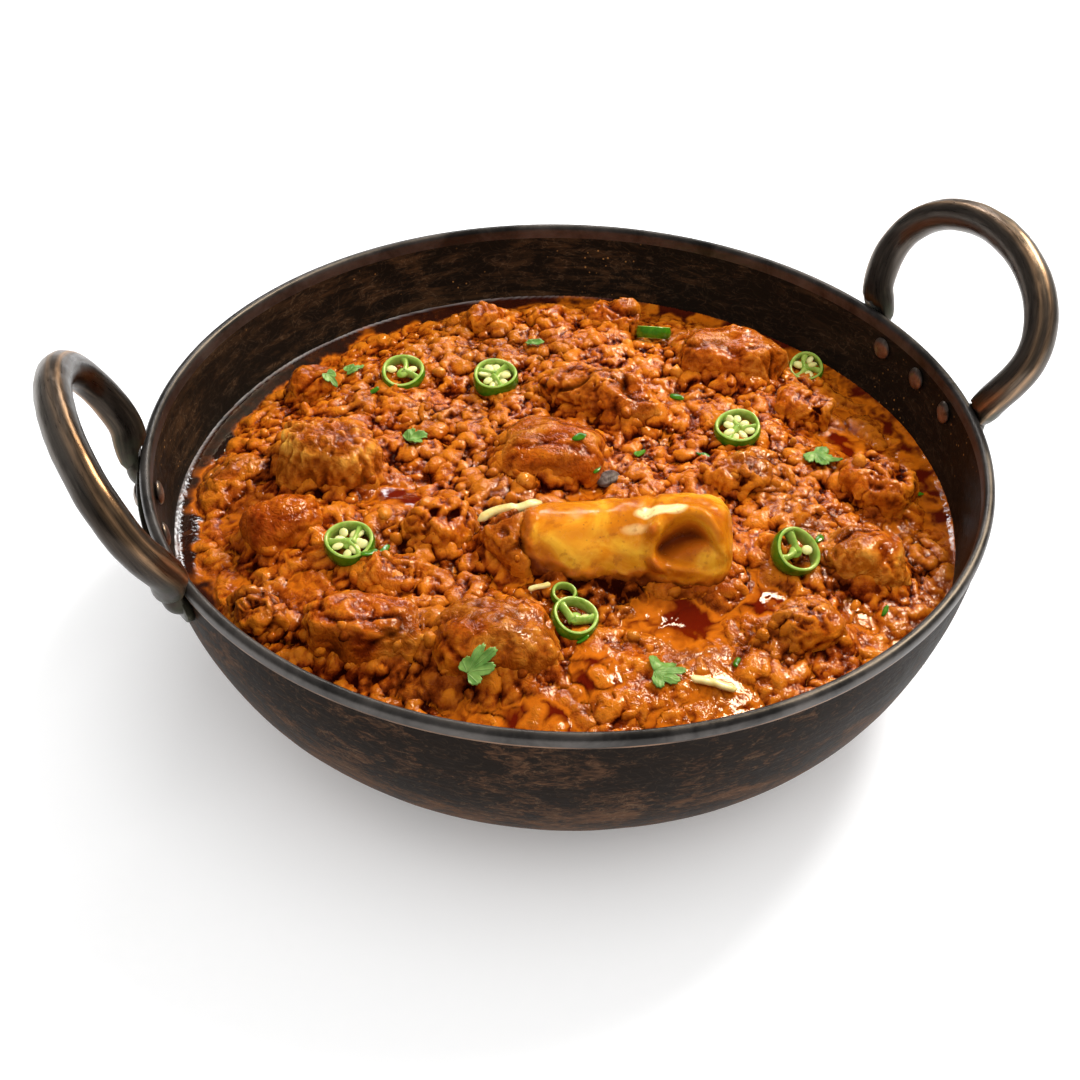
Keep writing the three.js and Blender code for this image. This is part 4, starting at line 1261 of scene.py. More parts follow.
def make_mutton(node, seed):
    coat, fibre, tone = COVER.get(node, PLAIN_COVER)
    piece = even_skin(node)
    p, n = points_of(piece), normals_of(piece)
    base = gravy_top(p[:, 0], p[:, 1])
    grain = meat_grain(node, seed, p)
    bulge = 1.2 * noise_at(p, 10, seed + 72) + 0.6 * noise_at(p, 5, seed + 73)
    cleft = np.exp(-((noise_at(p, 15, seed + 76) / 0.08) ** 2)) * (0.3 + 0.7 * min(1, 2 * coat))
    clumps, clots, grains = levels_at(p, seed + 80)
    patch = np.clip(coat + 0.55 * noise_at(p, 9, seed + 74), 0, 1)
    low = 1 - smoothstep(p[:, 2] - base, 0.5, 6)
    patch = np.maximum(patch, 0.9 * low)
    first = bulge - CLEFT_DEPTH * cleft + fibre * grain * (1 - patch) * 0.8 + (1.7 * clumps - 0.9) * patch
    p += n * first[:, None]
    p[:, 2] -= SINK_DEPTH * (1 - smoothstep(p[:, 2] - base, 0.2, 3.0))
    for level, push in ((clots, MEAT_CLOT_PUSH), (grains, MEAT_GRAIN_PUSH)):
        move_points(piece, p)
        p += normals_of(piece) * (push * (level - 0.5) * patch)[:, None]
    move_points(piece, p)
    # Painted shade: the meat's "height" goes dark in creases and clefts, light on crests.
    fine, coarse = (((p - relaxed(piece, p, rounds)) * normals_of(piece)).sum(1) for rounds in (4, 30))
    glazed = 0.6 + 0.18 * grain - 0.3 * cleft + 0.06 * fine / fine.std()
    high = crest_shade(fine, coarse) * patch + glazed * (1 - patch)
    # Painted highlight: pale pieces go paler along the upper edges of their sides, a little less on top.
    edge = np.exp(-(((n[:, 2] - 0.62) / 0.22) ** 2)) * smoothstep(p[:, 2] - base, 7, 14) * (1 - patch)
    high += (tone > 0.55) * 0.2 * edge
    set_attribute(piece, "height", np.clip(high, 0, 1))
    set_attribute(piece, "bare", 1 - smoothstep(patch, 0.1, 0.5))
    set_attribute(piece, "oil", np.zeros(len(p)))
    top = smoothstep(n[:, 2], 0.2, 0.9)
    shade = tone + (0.5 - tone) * patch * 0.8 + 0.3 * noise_at(p, 8, seed + 75) * (1 - patch)
    shade += (tone > 0.55) * (0.25 * edge - 0.1 * top * (1 - patch))
    set_attribute(piece, "tone", np.clip(shade, 0, 1))
    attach(piece, "root")
    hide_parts(node)
    return piece


mutton = [make_mutton(node, seed) for seed, node in enumerate(MEAT_NODES)]
print("mutton pieces:", len(mutton), "faces:", sum(len(m.data.polygons) for m in mutton))

# %% [markdown]
# ## Loose clots
# Relief alone can't overhang, and the real masala is a heap of small round clots that shade each
# other. So a few hundred clots with few faces lie half sunk in the gravy and on the coated meat.
# They are copies of one ball, set by Geometry Nodes; noise then gives each its own shape.

# %% Choose places on a surface
def surface_places(pieces, weights, count, spacing, seed):
    """Random places on meshes, thinned so that none is nearer than the spacing (mm): points, normals."""
    points, normals, chances = [], [], []
    for piece, weight in zip(pieces, weights):
        p, n = points_of(piece), normals_of(piece)
        corners = np.array([face.vertices[:3] for face in piece.data.polygons])
        first, second, third = (p[corners[:, i]] for i in (0, 1, 2))
        area = np.linalg.norm(np.cross(second - first, third - first), axis=1)
        points.append(p[corners].mean(1))
        normals.append(n[corners].mean(1))
        chances.append(area * weight[corners].mean(1))
    points, normals, chances = np.vstack(points), np.vstack(normals), np.concatenate(chances)
    rng = np.random.default_rng(seed)
    wanted = min(count * 6, len(points) - 1)
    tries = rng.choice(len(points), size=wanted, replace=False, p=chances / chances.sum())
    kept, taken = [], {}
    for i in tries:
        key = tuple(np.floor(points[i] / spacing).astype(int))
        near = [j for dx in (-1, 0, 1) for dy in (-1, 0, 1) for dz in (-1, 0, 1)
                for j in taken.get((key[0] + dx, key[1] + dy, key[2] + dz), ())]
        if all(((points[i] - points[j]) ** 2).sum() > spacing**2 for j in near):
            taken.setdefault(key, []).append(i)
            kept.append(i)
            if len(kept) == count:
                break
    return points[kept], normals[kept]


print("faces to choose places on:", sum(len(piece.data.polygons) for piece in (gravy, *mutton)))


# %% Clots from balls
CLOT_ROUNDS, SCRAP_ROUNDS = 2, 3


def ball_pattern(name, rounds):
    """A ball of 1 mm radius for Geometry Nodes to copy."""
    form = bmesh.new()
    bmesh.ops.create_icosphere(form, subdivisions=rounds, radius=MM)
    ball = bpy.data.meshes.new(name)
    form.to_mesh(ball)
    form.free()
    pattern = bpy.data.objects.new(name, ball)
    bpy.context.scene.collection.objects.link(pattern)
    return pattern


def scatter_clots(name, pieces, weights, count, spacing, seed):
    at, facing = surface_places(pieces, weights, count, spacing, seed)
    rng = np.random.default_rng(seed + 1)
    size = 1.5 + 1.5 * rng.random(len(at)) ** 1.6
    scale = size[:, None] * np.stack([rng.uniform(1.0, 1.9, len(at)), rng.uniform(0.7, 1.1, len(at)),
                                      rng.uniform(0.6, 0.9, len(at))], 1)
    turns = rng.uniform(-math.pi, math.pi, (len(at), 3))
    centre = at - facing * (0.55 * size)[:, None]
    clots = copies_of(ball_pattern("clot_pattern", CLOT_ROUNDS), name, centre, turns, scale, CURRY)
    p = points_of(clots)
    p += normals_of(clots) * (1.6 * noise_at(p, 3.1, seed + 2) + 0.7 * noise_at(p, 1.6, seed + 3))[:, None]
    move_points(clots, p)
    each = len(p) // len(at)
    # Painted light and shade: each clot is lighter towards its top and darker below, plus a random tone.
    rise = (p[:, 2] - np.repeat(centre[:, 2], each)) / np.repeat(size, each)
    light = np.repeat(rng.uniform(-0.16, 0.14, len(at)), each)
    set_attribute(clots, "height", np.clip(0.5 + 0.36 * rise + light, 0, 1))
    set_attribute(clots, "oil", np.zeros(len(p)))
    tone = np.clip(0.46 + 0.1 * rng.standard_normal(len(at)), 0.2, 0.62)
    set_attribute(clots, "tone", np.repeat(tone, each))
    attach(clots, "root")
    return clots


print("faces of one clot:", 20 * 4 ** (CLOT_ROUNDS - 1))

# %% Where clots may lie
# where the slices, the leaves, the shreds and the husk will lie
GARNISH_PLACES = [
    (-36, 75.5), (-4.5, 62), (66, 77.5), (114.5, 41), (66, 2.5), (-79.5, -13), (-23, -68), (-22, -56),
    (53.5, -65.5), (-43, 37.5), (-59, -81.5), (-5, -96), (89, -18.5), (-52.5, 86.5), (-63, 77.5),
    (17.5, 81), (-35, -19), (-20, -21), (8, -103.6), (2, -101), (-28.5, -51.5), (14, -4),
]
NEVER_ZERO = 1e-9


def clear_of_garnish(p):
    """0 within a slice's width of any garnish, 1 elsewhere, so that no clot buries it."""
    away = np.min([np.hypot(p[:, 0] - x, p[:, 1] - y) for x, y in GARNISH_PLACES], axis=0)
    return smoothstep(away, 7.5, 10)


def dryness_of_gravy():
    p = points_of(gravy)
    depth = np.empty(len(p), np.float32)
    gravy.data.attributes["oil"].data.foreach_get("value", depth)
    r = np.hypot(p[:, 0], p[:, 1])
    dry = (1 - smoothstep(depth, 0.05, 0.25)) * (1 - wetness(p[:, 0], p[:, 1])) ** 2
    return dry * (1 - smoothstep(r, 116, 124)) * clear_of_garnish(p) + NEVER_ZERO


def chance_of_clot(node, piece):
    """Where loose clots lie on a piece: all over a coated one, and round the foot of a glazed one."""
    p, n = points_of(piece), normals_of(piece)
    coat = COVER.get(node, PLAIN_COVER)[0]
    above = p[:, 2] - gravy_top(p[:, 0], p[:, 1])
    low = 1 - smoothstep(above, 2, 9)
    seen = smoothstep(n[:, 2], -0.5, 0.2) * smoothstep(above, -2.5, 0)
    return np.clip(coat**4 + low * 0.8, 0, 1) * seen * clear_of_garnish(p) + NEVER_ZERO


print("places kept clear for garnish:", len(GARNISH_PLACES))

# %% Set the clots
gravy_clots = scatter_clots("masala_clots_on_gravy", [gravy], [dryness_of_gravy()], 200, 7.0, 7)
clot_chances = [chance_of_clot(node, piece) for node, piece in zip(MEAT_NODES, mutton)]
meat_clots = scatter_clots("masala_clots_on_mutton", mutton, clot_chances, 90, 6.0, 17)
for clots in (gravy_clots, meat_clots):
    print(clots.name, len(clots.data.polygons), "faces")

# %% [markdown]
# ## Marrow bone
# The bone is smooth and yellow from turmeric, with small pores, a pale painted highlight along its top
# and sauce along its lower edge. Painted shade darkens the deep part of the hollow, the left end and
# the lower front side. Its length follows a rule, so it is lofted: rings of points along an
# axis, with the CAD's own widths. Pushing the rings' points in and out then opens the marrow hollow.

# %% Bone finish
def bone_finish():
    bone = Finish("turmeric_bone", Subsurface_Weight=0.2, Subsurface_Scale=0.003, Specular_IOR_Level=0.25,
                  Subsurface_Radius=(1.0, 0.6, 0.25))
    fat, sauce = bone.attribute("fat"), bone.attribute("sauce")
    cloud = bone.noise(60, 5, 0.6, 0.8)
    color = bone.ramp(
        cloud, (0.3, (0.42, 0.085, 0.002)), (0.5, (0.63, 0.2, 0.005)), (0.72, (0.86, 0.45, 0.03))
    )
    pores = bone.ramp(bone.cells(420), (0.06, 1.0), (0.16, 0.0))
    some = bone.ramp(bone.noise(90, 2), (0.48, 0.0), (0.58, 0.8))
    color = bone.mix(bone.math("MULTIPLY", pores, some), color, (0.3, 0.09, 0.012))
    # Painted highlight: the pale streak along the top, and a paler patch behind it.
    uneven_fat_and_highlight = bone.math("ADD", fat, bone.math("MULTIPLY", cloud, 0.3))
    color = bone.mix(bone.ramp(uneven_fat_and_highlight, (0.5, 0.0), (0.8, 1.0)), color, (0.9, 0.72, 0.32))
    # Sauce, with painted shade in the hollow, at the left end and on the lower front side.
    uneven_sauce_and_shade = bone.math("ADD", sauce, bone.math("MULTIPLY", bone.noise(180, 4), 0.5))
    edge = bone.ramp(uneven_sauce_and_shade, (0.55, 0.0), (0.85, 1.0))
    thick = bone.ramp(sauce, (0.6, 0.0), (1.0, 1.0))
    color = bone.mix(edge, color, bone.mix(thick, (0.47, 0.11, 0.005), (0.13, 0.02, 0.002)))
    freckles = bone.ramp(bone.noise(330, 3, 0.6), (0.56, 0.0), (0.66, 0.45))
    color = bone.mix(freckles, color, (0.36, 0.08, 0.006))
    bone.link(color, "Base Color")
    bone.link(bone.ramp(bone.noise(220, 3), (0.3, 0.14), (0.7, 0.32)), "Roughness")
    first = bone.bump(bone.noise(150, 4, 0.5), 0.3, 0.0006)
    bone.link(bone.bump(edge, 0.6, 0.0008, first), "Normal")
    return bone.material


TURMERIC_BONE = bone_finish()
print("bone finish nodes:", len(TURMERIC_BONE.node_tree.nodes))

# %% Bone sizes, as in the CAD
BONE_AT = np.array([4.0, -41.5, 63.5])
BONE_HALF_LENGTH, BONE_HALF_DEPTH, BONE_HALF_HEIGHT = 34.5, 16.0, 14.0
BONE_WIDTHS = [0.6, 0.86, 0.94, 0.97, 0.98, 0.98, 1, 1.03, 1.08, 1.13, 1.1, 0.85]


def bone_width(x):
    """Share of the bone's full width at a distance along it, with rounded ends."""
    stations = np.linspace(-BONE_HALF_LENGTH, BONE_HALF_LENGTH, len(BONE_WIDTHS))
    share = sum(np.interp(x + d, stations, BONE_WIDTHS) for d in (-3, -1.5, 0, 1.5, 3)) / 5
    beyond = np.clip((np.abs(x) - (BONE_HALF_LENGTH - 4)) / 5, 0, 0.985)
    return share * np.sqrt(1 - beyond**2) ** 0.8


print("bone across its middle in mm:", 2 * BONE_HALF_DEPTH, "by", 2 * BONE_HALF_HEIGHT)


# %% Make the bone
BONE_RINGS, BONE_SIDES, BONE_MEAN_RADIUS = 150, 168, 15
HOLLOW_ALONG, HOLLOW_TURN, HOLLOW_DEPTH = 20.5, math.radians(143), 9.0
HOLLOW_HALF_LENGTH, HOLLOW_HALF_WIDTH = 10.5, 8.2


def make_bone():
    even = np.linspace(-1, 1, BONE_RINGS)
    x = BONE_HALF_LENGTH * (0.35 * np.sin(even * math.pi / 2) + 0.65 * even)
    X, T = np.meshgrid(x, np.linspace(0, 2 * np.pi, BONE_SIDES, endpoint=False), indexing="ij")
    width = bone_width(X)
    out = np.stack([np.zeros_like(X), np.cos(T) / BONE_HALF_DEPTH, np.sin(T) / BONE_HALF_HEIGHT], 2)
    out /= np.linalg.norm(out, axis=2, keepdims=True)
    side, up = BONE_HALF_DEPTH * width * np.cos(T), BONE_HALF_HEIGHT * width * np.sin(T)
    local = np.stack([X, side, up + 1.2 * np.sin(X / 14)], 2)
    across = (X - HOLLOW_ALONG) / HOLLOW_HALF_LENGTH
    rise = (HOLLOW_TURN - T) * BONE_MEAN_RADIUS / HOLLOW_HALF_WIDTH
    across = across + 0.28 * rise
    rim = (np.abs(across) ** 2.5 + np.abs(rise) ** 2.5) ** 0.4
    rim = rim * (1 + 0.16 * np.sin(3 * np.arctan2(rise, across) + 0.6))
    opening = 1 - smoothstep(rim, 0.76, 1.0)
    ramp_up = smoothstep(0.75 * across - 0.85 * rise, -0.75, 0.95)
    lip = np.exp(-(((rim - 1.22) / 0.26) ** 2)) * smoothstep(rise - 0.7 * across, -0.9, 0.1)
    q = local.reshape(-1, 3)
    sizes = (12, 5, 6.5, 2.4)
    swell, dimples, lumps, grit = (noise_at(q, size, 91 + i).reshape(X.shape) for i, size in enumerate(sizes))
    end = smoothstep(X, 10, 32)
    push = 1.2 * swell + 0.5 * dimples + end * (0.9 * lumps + 0.35 * grit)
    push -= opening * (HOLLOW_DEPTH - 7.6 * ramp_up + 1.2 * dimples)
    push += lip * (0.4 + 1.5 * smoothstep(rise, -0.3, 0.9))
    ragged = smoothstep(dimples, -0.35, 0.35)
    push -= 1.0 * np.exp(-(((X - 7.5 - 2 * np.sin(T * 2)) / 1.5) ** 2)) * smoothstep(np.sin(T), 0, 0.8)
    collar = lip * smoothstep(-across - 0.9 * rise, -0.5, 0.6) * (0.35 + 0.65 * ragged)
    c, s = math.cos(BONE_YAW), math.sin(BONE_YAW)
    east, north = c * local[..., 0] - s * local[..., 1], s * local[..., 0] + c * local[..., 1]
    place = BONE_AT + np.stack([east, north, local[..., 2]], 2)
    flat = place.reshape(-1, 3)
    base = gravy_top(flat[:, 0], flat[:, 1]).reshape(X.shape)
    low = 1 - smoothstep(place[..., 2] - base + 3.5 * lumps + 1.5 * grit, 1, 10)
    _, clots, grains = (level.reshape(X.shape) for level in levels_at(flat, 95))
    left_end = (1 - smoothstep(X, -35, -24)) * ragged
    push += np.maximum(np.maximum(low, collar), 0.7 * left_end) * (2.1 * clots + 0.9 * grains - 0.8)
    way = np.stack([-s * out[..., 1], c * out[..., 1], out[..., 2]], 2)
    place = place + way * push[..., None]
    made = outward(mesh_object("turmeric_marrow_bone", *rings_mesh(place), TURMERIC_BONE))
    # Painted highlight: a pale streak along the top and a paler patch behind it.
    from_top = (T - math.radians(97)) * BONE_MEAN_RADIUS
    streak = smoothstep(X, -2, 8) * (1 - smoothstep(X, 14, 24)) * np.exp(-((from_top / 2.6) ** 2))
    from_back = (T - math.radians(118)) * BONE_MEAN_RADIUS
    pale = 0.5 * np.exp(-(((X - 3) / 9) ** 2)) * np.exp(-((from_back / 4) ** 2))
    # Painted shade: the deep part of the hollow, the left end and the lower front side go darker.
    deep = opening * (1 - ramp_up)
    ends = [0.0, 0.0]
    set_attribute(made, "fat", np.append(np.maximum(streak, pale).ravel(), ends))
    shade = 0.3 * (1 - smoothstep(X, -36, -14)) + 0.25 * smoothstep(T, math.radians(175), math.radians(205))
    sauce = 0.95 * low + 0.75 * collar + deep + 0.6 * left_end + (0.22 + 0.2 * lumps) * end + shade
    set_attribute(made, "sauce", np.append(np.clip(sauce, 0, 1).ravel(), ends))
    return made


bone = make_bone()
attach(bone, "root")
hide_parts("marrow_bone")
print("bone faces:", len(bone.data.polygons))

# %% [markdown]
# ## Chilli slices
# A slice of green chilli is a ring of waxy skin with paler flesh, thin walls that run to a core, and
# flat seeds. Each slice lies on the food as its CAD node does: its height and tilt come from the same
# four soundings of the food round its place.

# %% Chilli finishes
def chilli_finish(name, low, high, rough, coat):
    chilli = Finish(name, Roughness=rough, Subsurface_Weight=0.15, Subsurface_Scale=0.0015, Coat_Weight=coat,
                    Coat_Roughness=0.08)
    chilli.link(chilli.ramp(chilli.noise(260, 4, 0.6, 0.4), (0.3, low), (0.7, high)), "Base Color")
    chilli.link(chilli.bump(chilli.noise(500, 3), 0.25, 0.0003), "Normal")
    return chilli.material


CHILLI_SKIN = chilli_finish("waxy_chilli_skin", (0.022, 0.105, 0.002), (0.075, 0.22, 0.007), 0.18, 0.5)
CHILLI_FLESH = chilli_finish("pale_chilli_flesh", (0.2, 0.36, 0.025), (0.45, 0.56, 0.12), 0.3, 0.3)
CHILLI_SEED = chilli_finish("chilli_seed", (0.7, 0.66, 0.2), (0.88, 0.8, 0.38), 0.35, 0.2)
print("chilli finishes:", CHILLI_SKIN.name, CHILLI_FLESH.name, CHILLI_SEED.name)

# %% Chilli sizes and places, as in the CAD
CHILLI_SLICES = {
    # place, outer radius, thickness, lean, compass, seeds, arms, turn of the arms
    "chilli_1": ((-36, 75.5), 7.9, 4.0, 12, -110, 2, (1, 0, 1), 60),
    "chilli_2": ((-4.5, 62), 7.9, 6.0, 8, -100, 12, (1, 1, 1), 20),
    "chilli_3": ((66, 77.5), 6.6, 4.0, -20, -110, 2, (1, 0, 0), 10),
    "chilli_4": ((114.5, 41), 6.6, 3.4, 25, -130, 4, (1, 1, 1), 75),
    "chilli_5": ((66, 2.5), 7.9, 4.4, 14, -110, 8, (1, 1, 1), 100),
    "chilli_6": ((-79.5, -13), 8.0, 5.4, 6, -110, 9, (1, 1, 1), 40),
    "chilli_7": ((-23, -68), 7.3, 4.0, 18, -90, 1, (1, 0, 1), 100),
    "chilli_8": ((-22, -56), 3.9, 3.0, 10, -90, 0, (0, 0, 0), 0),
    "chilli_9": ((53.5, -65.5), 7.8, 5.0, 12, -100, 1, (1, 1, 0), 80),
}


def rest_on_food(x, y, radius):
    """Height and facing of the CAD food under a slice."""
    quarter = [k * math.pi / 2 for k in range(4)]
    around = [(x + radius * math.cos(a), y + radius * math.sin(a)) for a in quarter]
    heights = [height_on(all_food_tree, *place, GRAVY_LEVEL) for place in around]
    slope_x, slope_y = (heights[0] - heights[2]) / (2 * radius), (heights[1] - heights[3]) / (2 * radius)
    return sum(heights) / 4, Vector((-slope_x, -slope_y, 1)).normalized()


print("widest chilli slice in mm:", 2 * max(spec[1] for spec in CHILLI_SLICES.values()))


# %% Parts of a slice
def ring_of_skin(radius, half, wall, seed):
    """Ring with rounded cut edges: returns points, faces and which faces are skin."""
    upper = [(-wall, 0.7), (-0.85 * wall, 0.97), (-0.3 * wall, 1.0), (-0.12 * wall, 0.92)]
    upper += [(0.05, 0.72), (0.4, 0.28)]
    section = [(d, -h) for d, h in upper] + upper[::-1] + [(-1.06 * wall, 0.0)]
    turn = np.linspace(0, 2 * np.pi, 44, endpoint=False)
    wave = 1 + 0.025 * np.cos(3 * turn + seed) + 0.02 * np.sin(2 * turn + 2 * seed)
    rings = []
    for a, w in zip(turn, wave):
        reach = [radius * w + d for d, _ in section]
        rings.append([(r * math.cos(a), r * math.sin(a), h * half) for r, (_, h) in zip(reach, section)])
    points, faces = rings_mesh(rings, wrap=True)
    bands = [sorted((face[0] % len(section), face[1] % len(section))) for face in faces]
    return points, faces, [3 <= low <= 7 and high <= 8 for low, high in bands]


def bent_bar(start, end, half_width, half, sag):
    """A thin wall from start to end across the slice, a little curved."""
    start, end = np.array(start), np.array(end)
    along = end - start
    normal = np.array([-along[1], along[0]]) / (np.linalg.norm(along) + 1e-9)
    rings = []
    for t in np.linspace(0, 1, 9):
        middle = start + along * t + normal * sag * math.sin(math.pi * t)
        width = half_width * (1 + 0.7 * (2 * t - 1) ** 2)
        ring = []
        for a in np.linspace(0, 2 * np.pi, 10, endpoint=False):
            offset = normal * width * math.cos(a)
            ring.append((middle[0] + offset[0], middle[1] + offset[1], half * 0.82 * math.sin(a)))
        rings.append(ring)
    return rings_mesh(rings)


def flat_seed(place, size, yaw, tip):
    turn = np.linspace(0, 2 * np.pi, 10, endpoint=False)
    rings = []
    for a in np.linspace(0, np.pi, 7)[1:-1]:
        rings.append(np.stack([size * math.sin(a) * np.cos(turn), size * 0.8 * math.sin(a) * np.sin(turn),
                               np.full(10, size * 0.42 * math.cos(a))], 1))
    points, faces = rings_mesh(rings)
    turned = Matrix.Rotation(yaw, 3, "Z") @ Matrix.Rotation(tip, 3, "X")
    points = points @ np.array(turned).T + place
    return points, faces


print("faces of one seed:", len(flat_seed(np.zeros(3), 2.0, 0.0, 0.0)[1]))


# %% Make the chilli slices
def make_chilli(name, spec, seed):
    (x, y), radius, thick, lean, compass, seeds, arms, arm_turn = spec
    rng = np.random.default_rng(100 + seed)
    half, wall = thick / 2 + 0.3, max(1.0, radius * 0.17)
    points, faces, skin = ring_of_skin(radius, half, wall, seed)
    all_points, all_faces, kinds = [points], list(faces), [0 if s else 1 for s in skin]

    def include(made, kind):
        start = sum(len(q) for q in all_points)
        all_points.append(made[0])
        all_faces.extend([[start + i for i in face] for face in made[1]])
        kinds.extend([kind] * len(made[1]))

    inner = radius - wall * 0.9
    for k, there in enumerate(arms):
        if there:
            a = math.radians(arm_turn + 120 * k + float(rng.uniform(-14, 14)))
            core, wall_end = 0.9 * rng.uniform(-1, 1, 2), (inner * math.cos(a), inner * math.sin(a))
            include(bent_bar(core, wall_end, 0.95, half, float(rng.uniform(-0.9, 0.9))), 1)
    if sum(arms) > 1:
        include(flat_seed(np.array([0, 0, half * 0.2]), radius * 0.34, 0.4, 0.0), 1)
    for k in range(seeds):
        a = 2.4 * k + float(rng.uniform(-0.3, 0.3))
        reach = inner * (0.3 + 0.42 * math.sqrt((k + 0.5) / max(seeds, 1)))
        place = np.array([reach * math.cos(a), reach * math.sin(a), half * float(rng.uniform(0.15, 0.6))])
        size, tip = float(rng.uniform(1.8, 2.4)), float(rng.uniform(-0.7, 0.7))
        include(flat_seed(place, size, a, tip), 2)
    piece = mesh_object(f"{name}_slice", np.vstack(all_points), all_faces, CHILLI_SKIN)
    piece.data.materials.append(CHILLI_FLESH)
    piece.data.materials.append(CHILLI_SEED)
    piece.data.polygons.foreach_set("material_index", kinds)
    outward(piece)
    height, normal = rest_on_food(x, y, radius * 0.8)
    toward = Vector((math.cos(math.radians(compass)), math.sin(math.radians(compass)), 0))
    normal = (normal + toward * math.tan(math.radians(lean))).normalized()
    turn = Vector((0, 0, 1)).rotation_difference(normal).to_matrix()
    p = points_of(piece) @ np.array(turn).T + (x, y, height + half * 0.8 + 0.9)
    move_points(piece, p)
    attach(piece, "root")
    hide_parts(name)
    return piece


chillies = [make_chilli(name, spec, seed) for seed, (name, spec) in enumerate(CHILLI_SLICES.items())]
print("chilli slices:", len(chillies))

# %% [markdown]
# ## Coriander, ginger and husk
# Soft garnish lies on whatever is under it. Each sheet is built flat, then every point is dropped on
# to the finished food, and held up where it would bend too sharply, so leaves bridge small hollows.

# %% Food that garnish can lie on
bpy.context.view_layer.update()
depsgraph = bpy.context.evaluated_depsgraph_get()
FOOD_TREES = [BVHTree.FromObject(o, depsgraph) for o in [gravy, bone, *mutton]]


def food_height(x, y):
    """Height of the finished food at a place, in mm."""
    return max(height_on(tree, x, y) for tree in FOOD_TREES)


def draped(points_mm, lift, steepest=0.7):
    """Drops flat points on to the food, and bridges between high spots."""
    xy = points_mm[:, :2]
    ground = np.array([food_height(*q) for q in xy]) + lift
    distance = np.sqrt(((xy[:, None] - xy[None]) ** 2).sum(2))
    held = (ground[None, :] - steepest * distance).max(1)
    return np.column_stack([xy, held + points_mm[:, 2]])


def placed(points, at, yaw):
    c, s = math.cos(math.radians(yaw)), math.sin(math.radians(yaw))
    x, y, z = points.T
    return np.column_stack([at[0] + x * c - y * s, at[1] + x * s + y * c, z])


print("food under the garnish:", len(FOOD_TREES), "pieces")


# %% Leaf finish
def leaf_finish():
    leaf = Finish("coriander_green", Roughness=0.42, Subsurface_Weight=0.1, Subsurface_Scale=0.001)
    vein = leaf.attribute("vein")
    color = leaf.ramp(leaf.noise(240, 4, 0.6), (0.3, (0.07, 0.19, 0.02)), (0.7, (0.22, 0.38, 0.075)))
    leaf.link(leaf.mix(leaf.ramp(vein, (0.35, 0.0), (1.0, 0.8)), color, (0.36, 0.5, 0.17)), "Base Color")
    leaf.link(leaf.bump(vein, 0.5, 0.0004), "Normal")
    return leaf.material


CORIANDER = leaf_finish()
print("leaf finish nodes:", len(CORIANDER.node_tree.nodes))

# %% Make the leaves
LEAVES = {
    # place, yaw, length, half width, number of main lobes
    "coriander_1": ((-43, 37.5), 10, 10, 4.6, 3), "coriander_2": ((-59, -81.5), 15, 14, 4.6, 5),
    "coriander_3": ((-5, -96), -15, 13, 6.2, 5), "coriander_4": ((89, -18.5), -65, 16, 6.4, 5),
    "coriander_5": ((-52.5, 86.5), 5, 9, 3.6, 3), "coriander_6": ((-63, 77.5), -60, 7, 2.8, 3),
    "coriander_7": ((17.5, 81), -10, 8, 2.6, 2),
}


def make_leaf(name, spec, seed):
    """A fan of lobes from a stem: rays run out from the stem's end to a notched edge."""
    at, yaw, length, half_width, lobes = spec
    rays, steps = 20 * lobes + 1, 10
    share = np.linspace(-1, 1, rays)
    lobe = np.abs(np.cos(share * math.pi * lobes / 2))
    teeth = 0.08 * np.abs(np.cos(share * math.pi * lobes * 2.5 + seed))
    edge = (0.55 + 0.4 * lobe**0.7 + teeth) * (1 - 0.25 * share**2)
    fan = share * math.radians(105)
    out = np.linspace(0.03, 1, steps)
    x = (out[:, None] * (edge * np.cos(fan))[None]) * length * 0.74
    y = (out[:, None] * (edge * np.sin(fan))[None]) * half_width * 1.12
    x -= length * 0.24
    z = 0.9 * (out[:, None] ** 2) * np.sin(share * 5 + seed)[None] * 0.7 + 0.5 * out[:, None] ** 2
    flat = np.column_stack([x.ravel(), y.ravel(), z.ravel()])
    top_side = draped(placed(flat, at, yaw), 1.2)
    under = top_side - (0, 0, 0.32)
    points = np.vstack([top_side, under])
    n = steps * rays
    index = np.arange(n).reshape(steps, rays)
    upper = np.stack([index[:-1, :-1], index[1:, :-1], index[1:, 1:], index[:-1, 1:]], -1).reshape(-1, 4)
    lower = upper[:, ::-1] + n
    border = np.concatenate([index[0], index[1:, -1], index[-1, -2::-1], index[-2:0:-1, 0]])
    walls = [[a, b, b + n, a + n] for a, b in zip(border, np.roll(border, -1))]
    faces = upper.tolist() + lower.tolist() + np.array(walls).tolist()
    leaf = outward(mesh_object(f"{name}_leaf", points, faces, CORIANDER))
    mid = np.exp(-((np.mod(share * lobes / 2 + 0.5, 1) - 0.5) * 2 / 0.09) ** 2)
    vein = np.repeat(mid[None], steps, 0) * (1 - 0.6 * out[:, None])
    set_attribute(leaf, "vein", np.tile(vein.ravel(), 2))
    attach(leaf, "root")
    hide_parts(name)
    return leaf


leaves = [make_leaf(name, spec, seed) for seed, (name, spec) in enumerate(LEAVES.items())]
print("leaves:", len(leaves))


# %% Ginger finish
def ginger_finish():
    ginger = Finish("fresh_ginger", Roughness=0.34, Subsurface_Weight=0.2, Subsurface_Scale=0.0015,
                    Coat_Weight=0.4, Coat_Roughness=0.12)
    cloud = ginger.noise(300, 4, 0.6)
    ginger.link(ginger.ramp(cloud, (0.3, (0.72, 0.52, 0.14)), (0.7, (0.88, 0.76, 0.34))), "Base Color")
    return ginger.material


GINGER = ginger_finish()
print("ginger finish nodes:", len(GINGER.node_tree.nodes))

# %% Make the ginger
GINGER_SHREDS = {
    # place, yaw, length, half width, sideways bend
    "ginger_1": ((-27.2, -19.6), -3, 21.5, 1.7, 1.3), "ginger_2": ((8, -103.6), -28, 14, 1.4, 0.3),
    "ginger_3": ((-28.5, -51.5), -10, 7, 1.0, 0.3),
}


